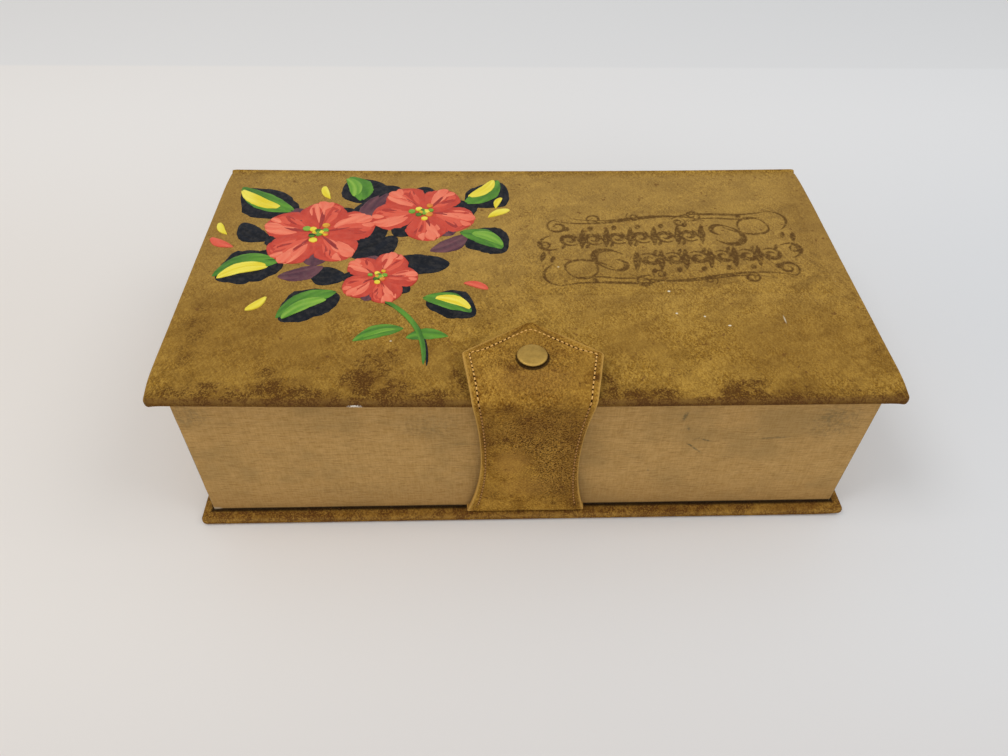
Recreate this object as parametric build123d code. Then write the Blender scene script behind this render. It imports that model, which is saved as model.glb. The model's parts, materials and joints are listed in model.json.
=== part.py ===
from build123d import *
from math import atan2, degrees, tan
import os

# A box for greeting cards, made like a book. A suede case holds boards in its lid, spine and base,
# a cloth-covered tray is glued inside it, and a suede strap with a brass snap keeps the lid down.
# The origin is on the table under the middle of the base. X runs along the length, -Y is the front,
# where the strap is, and Z is up. All sizes are in millimetres.

# Case
CASE_LENGTH = 305.0  # lid, left to right
LID_OVERHANG = 3.0  # lid past the base and the spine, at each end
CASE_DEPTH = 168.6  # front edge of the lid to the outside of the spine
CASE_HEIGHT = 82.5  # table to the top of the lid
SUEDE = 1.0  # one thickness of the case's suede
COVER_BOARD = 2.5  # board inside the lid and inside the base
SPINE_BOARD = 2.0  # board inside the spine
TURN_IN = 15.0  # suede glued round to the inside of a board
CASE_CORNER = 2.5  # plan radius of the lid's and base's front corners
EDGE_ROUND = 1.8  # rounding where the suede goes round a board's edge
JOINT_GAP = 3.0  # bare suede between a board's rear edge and the spine's suede
SPINE_BEND = 2.0  # outside radius where the base's suede turns up into the spine
SPINE_DROP = 1.0  # top of the spine board below the closed lid
HINGE_SLACK = 0.7  # free edge of the lid's suede beyond the rounded top of the spine's suede

# Tray
SIDE_LIP = 5.5  # the base reaches this far past the tray at each end
FRONT_LIP = 5.4  # and base and lid this far past it at the front
WALL_BOARD = 2.5  # the tray's four walls
FLOOR_BOARD = 2.0  # the tray's floor
CLOTH = 0.4  # book cloth outside the walls and over the rim
CLOTH_HEM = 12.0  # book cloth turned down inside the rim
CLOTH_ROUND = 0.8  # outside corners of the tray
LINING = 0.3  # lining paper in the tray and under the lid

# Running gaps
MOVING_GAP = 0.3  # air between pieces that move past each other
SHANK_FIT = 0.05  # all round a rivet in its hole
SLOT_SLACK = 0.2  # round the strap's tail in its slot

# Strap
STRAP_LAYER = 1.0  # each of the strap's two suede layers
STRAP_OFFSET = 0.0  # middle of the strap, to the right of the case's middle
STRAP_EASE = 0.3  # slack of the strap round the lid's front edge
FOLD_SETBACK = 2.4  # strap's outer face behind the base's front edge, at the lower fold
FOOT_WIDTH = 54.0  # at the lower fold
WAIST_WIDTH = 41.9  # where it is narrowest
WAIST_HEIGHT = 41.0  # of the narrowest place above the lower fold
BEND_WIDTH = 49.0  # where it bends over the lid's edge
SHOULDER_WIDTH = 57.6  # widest place, on the lid
SHOULDER_REACH = 23.3  # from the bend to the shoulders
TAB_REACH = 42.1  # from the bend to the point
TAB_CORNER = 1.6  # rounding of the shoulders and the point
TAB_DROOP = 1.0  # fall of the point below the snap's seat
TAB_EASE = 20.0  # radius of the tab's gentle bends either side of the snap
TAIL_THICK = 1.2  # both layers, pared down where they are glued under the tray
TAIL_LENGTH = 20.0  # glued under the tray

# Strap stitching
STITCH_INSET = 2.8  # row of stitches inside the strap's edge
STITCH_PITCH = 2.15
STITCH_LENGTH = 1.5
STITCH_WIDTH = 0.5
STITCH_RISE = 0.3  # thread standing on the suede

# Snap
SNAP_INSET = 19.2  # its axis behind the lid's front edge
CAP_DIAMETER = 12.5
CAP_RIM = 0.8  # height of the cap's straight edge
CAP_CROWN = 0.9  # height of its dome
CAP_SHANK = 3.4  # diameter of its rivet, through the tab
SEAT_MARGIN = 0.2  # flat part of the tab round the cap
SOCKET_DIAMETER = 10.6
SOCKET_HEIGHT = 2.8
SOCKET_ROOF = 0.4  # metal over the bore
SPRING_WIRE = 0.4
SPRING_GROOVE = 0.4  # depth of the spring's groove in the bore
STUD_HEAD = 4.4  # diameter of the stud's bulb
STUD_NECK = 3.8
STUD_PLAY = 0.4  # between the bulb and the bore, so that the tab can swing off it
STUD_FLANGE = 9.4
STUD_FLANGE_THICK = 0.5
STUD_RISE = 2.2  # bulb's top above its flange
POST_DIAMETER = 3.0
POST_HEAD = 8.0
POST_HEAD_THICK = 0.6
POST_IN_STUD = 1.4  # post's reach above the lid

# Planes of the case
lid_half = CASE_LENGTH / 2
base_half = lid_half - LID_OVERHANG
front = -CASE_DEPTH / 2
back = CASE_DEPTH / 2
cover_thick = COVER_BOARD + 2 * SUEDE
base_top = cover_thick
lid_under = CASE_HEIGHT - cover_thick
board_rear = back - SUEDE - JOINT_GAP
spine_inner = back - SUEDE - SPINE_BOARD
spine_top = lid_under - SPINE_DROP

# The lid's hinge line, in the middle of the suede at the rear top corner
hinge_y = back - SUEDE / 2
hinge_z = CASE_HEIGHT - SUEDE / 2

# Planes of the tray
tray_half = base_half - SIDE_LIP
tray_front = front + FRONT_LIP
tray_back = spine_inner
rim = lid_under - MOVING_GAP
wall_half = tray_half - CLOTH
wall_front = tray_front + CLOTH
wall_back = tray_back - CLOTH
wall_top = rim - CLOTH
floor_top = base_top + FLOOR_BOARD
hem_bottom = rim - CLOTH_HEM

# The strap's lower fold and the bend over the lid's edge, each a line along X
fold_y = front + FOLD_SETBACK + STRAP_LAYER
fold_z = base_top + MOVING_GAP + STRAP_LAYER
bend_y = front - MOVING_GAP - STRAP_EASE - STRAP_LAYER
bend_z = CASE_HEIGHT + MOVING_GAP + STRAP_LAYER

# Heights of the snap, from the lid up
snap_y = front + SNAP_INSET
socket_bottom = CASE_HEIGHT + STUD_FLANGE_THICK + MOVING_GAP
socket_top = socket_bottom + SOCKET_HEIGHT
bore_top = socket_top - SOCKET_ROOF
seat_z = socket_top + STRAP_LAYER
tab_top = seat_z + STRAP_LAYER
steepest_ramp = atan2(seat_z - bend_z, snap_y - bend_y - CAP_DIAMETER)
seat_half = CAP_DIAMETER / 2 + SEAT_MARGIN + TAB_EASE * tan(steepest_ramp / 2)
bore_radius = STUD_HEAD / 2 + STUD_PLAY


def block(x_low, x_high, y_low, y_high, z_low, z_high):
    """A box between two limits on each axis."""
    size = (x_high - x_low, y_high - y_low, z_high - z_low)
    middle = ((x_low + x_high) / 2, (y_low + y_high) / 2, (z_low + z_high) / 2)
    return Pos(*middle) * Box(*size)


def disc(radius, z_low, z_high):
    """A round piece on the snap's axis."""
    middle = (STRAP_OFFSET, snap_y, (z_low + z_high) / 2)
    return Pos(*middle) * Cylinder(radius, z_high - z_low)


def round_front(shape, radius):
    """Rounds the two upright front corners of a slab."""
    upright = shape.edges().filter_by(Axis.Z)
    return fillet(upright.sort_by(Axis.Y)[:2], radius)


def board_slab(half):
    """A cover's board, for a cover of this half length, with the case's outer face at z = 0."""
    slab = block(-half + SUEDE, half - SUEDE, front + SUEDE, board_rear, SUEDE, SUEDE + COVER_BOARD)
    return round_front(slab, CASE_CORNER - SUEDE)


def board_cover(half, sheet_rear):
    """A cover's suede, with its outer face at z = 0: the sheet, its three wrapped edges and turn-ins."""
    slab = round_front(block(-half, half, front, board_rear, 0, cover_thick), CASE_CORNER)
    rims = ShapeList()
    for face in slab.faces().filter_by(Axis.Z):
        rims += face.edges().filter_by(lambda edge: edge.center().Y < board_rear - CASE_CORNER)
    slab = fillet(rims, min(EDGE_ROUND, 0.45 * cover_thick))
    window = block(-half + TURN_IN, half - TURN_IN, front + TURN_IN, board_rear,
                   SUEDE + COVER_BOARD, cover_thick)
    flap = block(-half, half, board_rear, sheet_rear, 0, SUEDE)
    return slab - board_slab(half) - window + flap


def upside_down(shape):
    """Turns a cover made for the base over, to be the lid's."""
    return Pos(0, 0, CASE_HEIGHT) * mirror(shape, Plane.XY)


def base_cover():
    return board_cover(base_half, back - SPINE_BEND)


def lid_cover():
    sheet_rear = hinge_y - SUEDE / 2 - HINGE_SLACK
    post_hole = disc(POST_DIAMETER / 2 + SHANK_FIT, lid_under, CASE_HEIGHT)
    return upside_down(board_cover(lid_half, sheet_rear)) - post_hole


def lid_board():
    board = upside_down(board_slab(lid_half))
    low = lid_under + SUEDE
    head_recess = disc(POST_HEAD / 2 + SHANK_FIT, low, low + POST_HEAD_THICK)
    post_hole = disc(POST_DIAMETER / 2 + SHANK_FIT, low, CASE_HEIGHT)
    return board - head_recess - post_hole


def lid_lining():
    """Paper inside the suede turn-ins, on the underside of the lid's board."""
    high = lid_under + SUEDE
    return block(-lid_half + TURN_IN, lid_half - TURN_IN, front + TURN_IN, board_rear, high - LINING, high)


def spine_board():
    return block(-base_half + SUEDE, base_half - SUEDE, spine_inner, back - SUEDE, SPINE_BEND, spine_top)


def spine_cover():
    """The spine's suede: up from the base's bend to the hinge line, and round the board's two ends."""
    bend_start = back - SPINE_BEND
    inner_bend = SPINE_BEND - SUEDE
    sheet_outline = [
        CenterArc((bend_start, SPINE_BEND), SPINE_BEND, -90, 90),
        Line((back, SPINE_BEND), (back, hinge_z)),
        ThreePointArc((back, hinge_z), (hinge_y, hinge_z + SUEDE / 2), (back - SUEDE, hinge_z)),
        Line((back - SUEDE, hinge_z), (back - SUEDE, SPINE_BEND)),
        CenterArc((bend_start, SPINE_BEND), inner_bend, 0, -90),
        Line((bend_start, SUEDE), (bend_start, 0)),
    ]
    cover = extrude(Plane.YZ * make_face(sheet_outline), base_half, both=True)
    for side in (-1, 1):
        outer = side * base_half
        lip = side * (tray_half + MOVING_GAP)
        wrap = block(*sorted((outer - side * SUEDE, outer)), spine_inner, back - SUEDE, SPINE_BEND, spine_top)
        turned = block(*sorted((lip, outer)), spine_inner - SUEDE, spine_inner, base_top, spine_top)
        cover += wrap + turned
    return cover


def tail_slot():
    """The space that the strap's glued tail takes under the tray's front."""
    half = FOOT_WIDTH / 2 + SLOT_SLACK
    return block(STRAP_OFFSET - half, STRAP_OFFSET + half, front, tray_front + TAIL_LENGTH + SLOT_SLACK,
                 base_top, base_top + TAIL_THICK)


def tray_long_wall(y_low, y_high):
    return block(-wall_half, wall_half, y_low, y_high, base_top, wall_top)


def tray_end_wall(side):
    x_limits = sorted((side * wall_half, side * (wall_half - WALL_BOARD)))
    return block(*x_limits, wall_front + WALL_BOARD, wall_back - WALL_BOARD, base_top, wall_top)


def inside_of_walls(inset, z_low, z_high):
    """A block that fills the tray between its walls, less an inset on all four sides."""
    gap = WALL_BOARD + inset
    return block(-wall_half + gap, wall_half - gap, wall_front + gap, wall_back - gap, z_low, z_high)


def tray_floor():
    return inside_of_walls(0, base_top, floor_top) - tail_slot()


def tray_cloth():
    """Book cloth round the outside of the walls, over the rim and down inside as a hem."""
    skin = block(-tray_half, tray_half, tray_front, tray_back, base_top, rim)
    skin = fillet(skin.edges().filter_by(Axis.Z), min(CLOTH_ROUND, SIDE_LIP))
    walls = block(-wall_half, wall_half, wall_front, wall_back, base_top, wall_top)
    inside = inside_of_walls(0, wall_top, rim)
    hem = inside_of_walls(0, hem_bottom, rim) - inside_of_walls(CLOTH, hem_bottom, rim)
    return skin - walls - inside + hem - tail_slot()


def tray_wall_lining():
    """Paper round the inside of the walls, from the floor up to the cloth's hem."""
    return inside_of_walls(0, floor_top, hem_bottom) - inside_of_walls(LINING, floor_top, hem_bottom)


def tray_floor_lining():
    return inside_of_walls(LINING, floor_top, floor_top + LINING)


def strap_tail():
    half = FOOT_WIDTH / 2
    return block(STRAP_OFFSET - half, STRAP_OFFSET + half, fold_y + STRAP_LAYER + MOVING_GAP,
                 tray_front + TAIL_LENGTH, base_top, base_top + TAIL_THICK)


# The strap's front lies in a plane that leans out from the lower fold to the bend. In that plane
# x is along the case, y is up the strap and z is outwards.
strap_rise = Vector(0, bend_y - fold_y, bend_z - fold_z)
strap_front_length = strap_rise.length
strap_plane = Plane(origin=(STRAP_OFFSET, fold_y, fold_z), x_dir=(1, 0, 0),
                    z_dir=Vector(1, 0, 0).cross(strap_rise))


def strap_side(side, inset):
    """One waisted edge of the strap's front, or a row of stitches inside it."""
    foot = (side * (FOOT_WIDTH / 2 - inset), 0)
    waist = (side * (WAIST_WIDTH / 2 - inset), WAIST_HEIGHT)
    bend = (side * (BEND_WIDTH / 2 - inset), strap_front_length)
    return ThreePointArc(foot, waist, bend)


def strap_front_layer(side):
    """The outer layer (side 1) or the lining (side -1), with half of each rounded end."""
    foot, bend, end = FOOT_WIDTH / 2, BEND_WIDTH / 2, strap_front_length
    outline = [
        strap_side(1, 0),
        Polyline((bend, end), (bend, end + STRAP_LAYER), (-bend, end + STRAP_LAYER), (-bend, end)),
        strap_side(-1, 0),
        Polyline((-foot, 0), (-foot, -STRAP_LAYER), (foot, -STRAP_LAYER), (foot, 0)),
    ]
    sheet = extrude(make_face(outline), side * STRAP_LAYER)
    ends = block(-FOOT_WIDTH, FOOT_WIDTH, 0, end, -STRAP_LAYER, STRAP_LAYER)
    for height in (0, end):
        ends += Pos(0, height, 0) * Rot(0, 90, 0) * Cylinder(STRAP_LAYER, 2 * FOOT_WIDTH)
    return strap_plane * (sheet & ends)


def stitches_along(edge):
    """Thread seen from above, as rectangles set end to end along a line."""
    count = int(edge.length // STITCH_PITCH)
    row = Sketch()
    for number in range(count):
        place = (number + 0.5) / count
        heading = edge.tangent_at(place)
        turn = degrees(atan2(heading.Y, heading.X))
        row += Location(edge.position_at(place), (0, 0, turn)) * Rectangle(STITCH_LENGTH, STITCH_WIDTH)
    return row


def strap_front_stitches():
    threads = Part()
    for side in (-1, 1):
        threads += extrude(stitches_along(strap_side(side, STITCH_INSET)), STITCH_RISE)
    return strap_plane * Pos(0, 0, STRAP_LAYER) * threads


def tab_line():
    """The tab's side view between its layers: a ramp, a flat seat under the cap, and the point."""
    ramp = Vector(snap_y - seat_half - bend_y, seat_z - bend_z).normalized()
    start = Vector(bend_y, bend_z) + ramp * (STRAP_LAYER + MOVING_GAP)
    return FilletPolyline(
        start,
        (snap_y - seat_half, seat_z),
        (snap_y + seat_half, seat_z),
        (bend_y + TAB_REACH, seat_z - TAB_DROOP),
        radius=TAB_EASE,
    )


def tab_sheet(thickness, side):
    """A sheet that lies on the upper (left) or the lower (right) side of the tab's line."""
    side_view = make_face(offset(tab_line(), thickness, side=side))
    return extrude(Plane.YZ * side_view, lid_half, both=True)


def tab_outline():
    """The tab seen from above, with its shoulders and point rounded."""
    bend, shoulder = BEND_WIDTH / 2, SHOULDER_WIDTH / 2
    corners = Polyline((-bend, 0), (-shoulder, SHOULDER_REACH), (0, TAB_REACH), (shoulder, SHOULDER_REACH),
                       (bend, 0), close=True)
    return Pos(STRAP_OFFSET, bend_y) * make_face(corners)


def above_lid(sketch):
    """A column over a sketch, tall enough to cut any sheet of the tab."""
    return extrude(Pos(0, 0, CASE_HEIGHT) * sketch, tab_top)


def strap_tab_layer(side):
    outline = tab_outline()
    free_corners = outline.vertices().filter_by(lambda corner: corner.Y > bend_y + STRAP_LAYER)
    column = above_lid(fillet(free_corners, TAB_CORNER))
    rivet_hole = disc(CAP_SHANK / 2 + SHANK_FIT, socket_top - STRAP_LAYER, tab_top + STRAP_LAYER)
    return (tab_sheet(STRAP_LAYER, side) & column) - rivet_hole


def strap_tab_stitches():
    row = offset(tab_outline(), -STITCH_INSET, kind=Kind.INTERSECTION)
    threads = Sketch()
    for edge in row.edges().sort_by(Axis.Y)[1:]:
        threads += stitches_along(edge)
    thread_sheet = tab_sheet(STRAP_LAYER + STITCH_RISE, Side.LEFT) - tab_sheet(STRAP_LAYER, Side.LEFT)
    return thread_sheet & above_lid(threads)


def snap_cap():
    """A domed cap on the tab, with the rivet that goes through the tab into the socket."""
    radius = CAP_DIAMETER / 2
    crown_base = tab_top + CAP_RIM
    sphere_radius = (radius ** 2 + CAP_CROWN ** 2) / (2 * CAP_CROWN)
    sphere = Pos(STRAP_OFFSET, snap_y, crown_base + CAP_CROWN - sphere_radius) * Sphere(sphere_radius)
    crown = sphere & disc(radius, tab_top, crown_base + CAP_CROWN)
    return crown + disc(CAP_SHANK / 2, bore_top, tab_top)


def snap_socket():
    """The cup under the tab that takes the stud, with a groove for its wire spring."""
    cup = disc(SOCKET_DIAMETER / 2, socket_bottom, socket_top)
    bore = disc(bore_radius, socket_bottom, bore_top)
    rivet_hole = disc(CAP_SHANK / 2 + SHANK_FIT, bore_top, socket_top)
    middle = (socket_bottom + bore_top) / 2
    half = SPRING_WIRE / 2 + SHANK_FIT
    groove = disc(bore_radius + SPRING_GROOVE, middle - half, middle + half)
    return cup - bore - rivet_hole - groove


def snap_spring():
    """The wire ring in the socket's groove, standing a little way into the bore."""
    wire = SPRING_WIRE / 2
    ring_radius = bore_radius + SPRING_GROOVE - SHANK_FIT - wire
    middle = (STRAP_OFFSET, snap_y, (socket_bottom + bore_top) / 2)
    return Pos(*middle) * Torus(ring_radius, wire)


def snap_stud():
    """The bulb that the socket grips, on its flange on the lid."""
    flange_top = CASE_HEIGHT + STUD_FLANGE_THICK
    stud = disc(STUD_FLANGE / 2, CASE_HEIGHT, flange_top)
    stud += disc(STUD_NECK / 2, flange_top, flange_top + STUD_RISE / 2)
    bulb = disc(STUD_HEAD / 2, flange_top + STUD_RISE / 2, flange_top + STUD_RISE)
    stud += chamfer(bulb.edges().filter_by(GeomType.CIRCLE), (STUD_HEAD - STUD_NECK) / 2)
    return stud - disc(POST_DIAMETER / 2 + SHANK_FIT, CASE_HEIGHT, CASE_HEIGHT + POST_IN_STUD)


def snap_post():
    """The rivet through the lid that holds the stud."""
    low = lid_under + SUEDE
    head = disc(POST_HEAD / 2, low, low + POST_HEAD_THICK)
    return head + disc(POST_DIAMETER / 2, low, CASE_HEIGHT + POST_IN_STUD)


nodes = {
    "base_board": board_slab(base_half),
    "base_cover": base_cover(),
    "spine_board": spine_board(),
    "spine_cover": spine_cover(),
    "tray_floor": tray_floor(),
    "tray_front_wall": tray_long_wall(wall_front, wall_front + WALL_BOARD) - tail_slot(),
    "tray_back_wall": tray_long_wall(wall_back - WALL_BOARD, wall_back),
    "tray_left_wall": tray_end_wall(-1),
    "tray_right_wall": tray_end_wall(1),
    "tray_cloth": tray_cloth(),
    "tray_wall_lining": tray_wall_lining(),
    "tray_floor_lining": tray_floor_lining(),
    "strap_tail": strap_tail(),
    "lid_board": lid_board(),
    "lid_cover": lid_cover(),
    "lid_lining": lid_lining(),
    "snap_stud": snap_stud(),
    "snap_post": snap_post(),
    "strap_front_outer": strap_front_layer(1),
    "strap_front_lining": strap_front_layer(-1),
    "strap_front_stitches": strap_front_stitches(),
    "strap_tab_outer": strap_tab_layer(Side.LEFT),
    "strap_tab_lining": strap_tab_layer(Side.RIGHT),
    "strap_tab_stitches": strap_tab_stitches(),
    "snap_cap": snap_cap(),
    "snap_socket": snap_socket(),
    "snap_spring": snap_spring(),
}

os.makedirs("parts", exist_ok=True)
for name, shape in nodes.items():
    export_step(shape, f"parts/{name}.step")
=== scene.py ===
# %% [markdown]
# # A card box in suede and book cloth
# The box is made like a book. A suede case with boards in its lid, spine and base holds a cloth-covered
# tray, and a stitched strap with a press stud keeps the lid down. The imported CAD model is the frame:
# each piece below takes its place from it, and most ride on one of its bodies.

# %% Load the frame
import json
import math

import bpy
import numpy as np
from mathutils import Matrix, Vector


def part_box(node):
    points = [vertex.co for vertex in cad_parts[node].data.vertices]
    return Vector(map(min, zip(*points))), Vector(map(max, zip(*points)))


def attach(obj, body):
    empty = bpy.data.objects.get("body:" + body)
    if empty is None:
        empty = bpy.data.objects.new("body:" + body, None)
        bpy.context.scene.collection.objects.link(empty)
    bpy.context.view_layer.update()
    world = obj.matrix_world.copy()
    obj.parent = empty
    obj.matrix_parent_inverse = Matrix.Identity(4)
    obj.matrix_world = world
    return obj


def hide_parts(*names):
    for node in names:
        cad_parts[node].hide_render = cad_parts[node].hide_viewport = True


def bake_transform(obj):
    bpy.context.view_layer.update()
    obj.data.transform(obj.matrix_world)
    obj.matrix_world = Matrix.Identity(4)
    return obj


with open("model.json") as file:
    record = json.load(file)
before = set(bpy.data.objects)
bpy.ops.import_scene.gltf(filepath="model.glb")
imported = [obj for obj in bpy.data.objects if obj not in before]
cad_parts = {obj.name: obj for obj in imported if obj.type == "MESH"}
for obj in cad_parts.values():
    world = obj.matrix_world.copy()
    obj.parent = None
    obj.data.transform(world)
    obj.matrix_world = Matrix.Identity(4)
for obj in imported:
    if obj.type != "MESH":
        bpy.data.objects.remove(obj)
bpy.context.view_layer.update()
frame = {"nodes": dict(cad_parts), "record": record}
nodes = frame["nodes"]

# %% [markdown]
# ## Sizes
# Shapes are worked out in millimetres, as a maker would measure them, and turned into metres where they
# become a mesh. The outer planes come from the CAD nodes' own boxes, so they can't drift from the frame.

# %% Planes of the case, in mm
MM = 0.001


def limits(node):
    """A CAD node's lowest and highest corner, in mm."""
    low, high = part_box(node)
    return np.array(low) / MM, np.array(high) / MM


(left, front, lid_under), (right, _, lid_top) = limits("lid_cover")
(base_left, _, base_under), (base_right, _, base_top) = limits("base_cover")
(_, spine_inner, _), (_, back, _) = limits("spine_cover")
(tray_left, tray_front, _), (tray_right, tray_back, rim) = limits("tray_cloth")
cap_low, cap_high = limits("snap_cap")
snap_x = (cap_low[0] + cap_high[0]) / 2
snap_y = (cap_low[1] + cap_high[1]) / 2
print("case", right - left, "by", round(back - front, 1), "lid top", lid_top, "rim", rim)

# %% [markdown]
# ## From surfaces to meshes
# A surface here is a grid of points: rows run one way over it, columns the other. A sheet of suede has
# two such grids, its outer and its inner face. They share their border points, so the skin is closed and
# every face looks outwards.


# %% Grids and closed skins
def quads(index):
    """The four corners of each cell of a grid of point numbers, in the order that faces the viewer."""
    corners = (index[:-1, :-1], index[:-1, 1:], index[1:, 1:], index[1:, :-1])
    return np.stack([corner.ravel() for corner in corners], axis=1)


def two_sided(outer, inner):
    """One closed skin from two grids of the same shape: they share their border points."""
    rows, columns = outer.shape[:2]
    outer_index = np.arange(rows * columns).reshape(rows, columns)
    inner_index = outer_index.copy()
    inside = np.arange((rows - 2) * (columns - 2)).reshape(rows - 2, columns - 2)
    inner_index[1:-1, 1:-1] = rows * columns + inside
    points = np.concatenate([outer.reshape(-1, 3), inner[1:-1, 1:-1].reshape(-1, 3)])
    faces = np.concatenate([quads(outer_index), quads(inner_index)[:, ::-1]])
    return points, faces


def ring_skin(points):
    """A grid whose rows and columns both run round and meet themselves, as on a ring."""
    rows, columns = points.shape[:2]
    index = np.arange(rows * columns).reshape(rows, columns)
    index = np.pad(index, ((0, 1), (0, 1)), mode="wrap")
    return points.reshape(-1, 3), quads(index)


def joined(skins):
    """Several skins as one, with their point numbers counted on."""
    points = [skin[0] for skin in skins]
    starts = np.cumsum([0] + [len(group) for group in points[:-1]])
    faces = [skin[1] + start for skin, start in zip(skins, starts)]
    return np.concatenate(points), np.concatenate(faces)

def sheet(x, y, upper, lower):
    """One closed skin between two heights over the same x and y."""
    return two_sided(np.dstack([x, y, upper]), np.dstack([x, y, lower]))


def wound(rows, columns):
    """The point numbers of a grid whose columns run round and meet themselves, as on a tube."""
    return np.pad(np.arange(rows * columns).reshape(rows, columns), ((0, 0), (0, 1)), mode="wrap")


def outer_only(values, skin):
    """Numbers for the points of a skin's outer grid, and zeros for the points that follow them."""
    return np.concatenate([values.ravel(), np.zeros(len(skin[0]) - values.size)])


def in_scene(name, data):
    """An object that shows a mesh, a lamp or a camera in the scene."""
    thing = bpy.data.objects.new(name, data)
    bpy.context.scene.collection.objects.link(thing)
    return thing


def make_piece(name, skin, finishes, face_finish=None, sharp=50, **marks):
    """A mesh object from a skin in mm, whose faces are an array or a list. marks are numbers stored at
    each point for the finish to read, and face_finish says which of the finishes each face takes."""
    points, faces = skin
    mesh = bpy.data.meshes.new(name)
    mesh.from_pydata((points * MM).tolist(), [], faces if isinstance(faces, list) else faces.tolist())
    mesh.polygons.foreach_set("use_smooth", np.ones(len(faces), bool))
    mesh.set_sharp_from_angle(angle=math.radians(sharp))
    for mark, values in marks.items():
        values = np.asarray(values, np.float32)
        if values.ndim == 2:
            colours = mesh.color_attributes.new(mark, "FLOAT_COLOR", "POINT")
            colours.data.foreach_set("color", values.ravel())
        else:
            mesh.attributes.new(mark, "FLOAT", "POINT").data.foreach_set("value", values)
    for finish in finishes if isinstance(finishes, list) else [finishes]:
        mesh.materials.append(finish)
    if face_finish is not None:
        mesh.polygons.foreach_set("material_index", np.asarray(face_finish, np.int32))
    mesh.validate()
    mesh.update()
    print(f"{name}: {len(points)} points, {len(faces)} faces")
    return in_scene(name, mesh)


# %% [markdown]
# ## Unevenness
# Nothing on a hand-made box of this age is quite flat. A few sine waves laid over each other at random
# headings give a soft swell that is the same each time the script runs.


# %% Soft unevenness
def ripple(first, second, span, seed):
    """Between about -1 and 1: seven sine waves with random headings, each about span long, added up."""
    dice = np.random.default_rng(seed)
    total = 0.0
    for heading, phase, stretch in zip(dice.uniform(0, np.pi, 7), dice.uniform(0, 2 * np.pi, 7),
                                       dice.uniform(0.7, 1.5, 7)):
        along = first * np.cos(heading) + second * np.sin(heading)
        total = total + np.sin(2 * np.pi * along / (span * stretch) + phase)
    return total / 3


def smoothstep(value, start, end):
    """0 before start, 1 after end, and an S-curve between them."""
    share = np.clip((value - start) / (end - start), 0, 1)
    return share * share * (3 - 2 * share)


def bell(value, width):
    """1 at zero, falling off to nothing over a few widths on both sides."""
    return np.exp(-(value / width) ** 2)


def soft_larger(first, second, ease=0.35):
    """The larger of two values, with a small round corner where they cross."""
    return (first + second) / 2 + np.sqrt(((first - second) / 2) ** 2 + ease ** 2)


def lid_warp(x, y):
    """How far the lid's board stands above its plane, in mm: its ends bow up as a parabola, and from the
    hinge to the front it twists, left up and right down, as far as the tray's rim lets it."""
    share = x / right
    return soft_larger(1.25 * share ** 2 - 1.9 * share * (back - y) / (back - front), -0.32, 0.1)


def lid_height(x, y):
    """The top of the lid in mm: its warped plane, a long slow swell, and small dents in the suede."""
    swell = 0.16 * ripple(x, y, 110, 3) + 0.07 * ripple(x, y, 30, 4) + 0.03 * ripple(x, y, 9, 5)
    return lid_top + lid_warp(x, y) + swell


# %% [markdown]
# ## Finishes
# Each finish is a small net of nodes that starts from the Object coordinates, in metres, so a pattern
# stays on its piece when the lid or the strap moves. A helper keeps the node calls short enough to read.


# %% A finish and its nodes
def screen(red, green, blue):
    """The linear colour of an 8-bit screen colour, with full alpha."""
    share = np.array([red, green, blue]) / 255
    linear = np.where(share <= 0.04045, share / 12.92, ((share + 0.055) / 1.055) ** 2.4)
    return (*linear.tolist(), 1.0)


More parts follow.
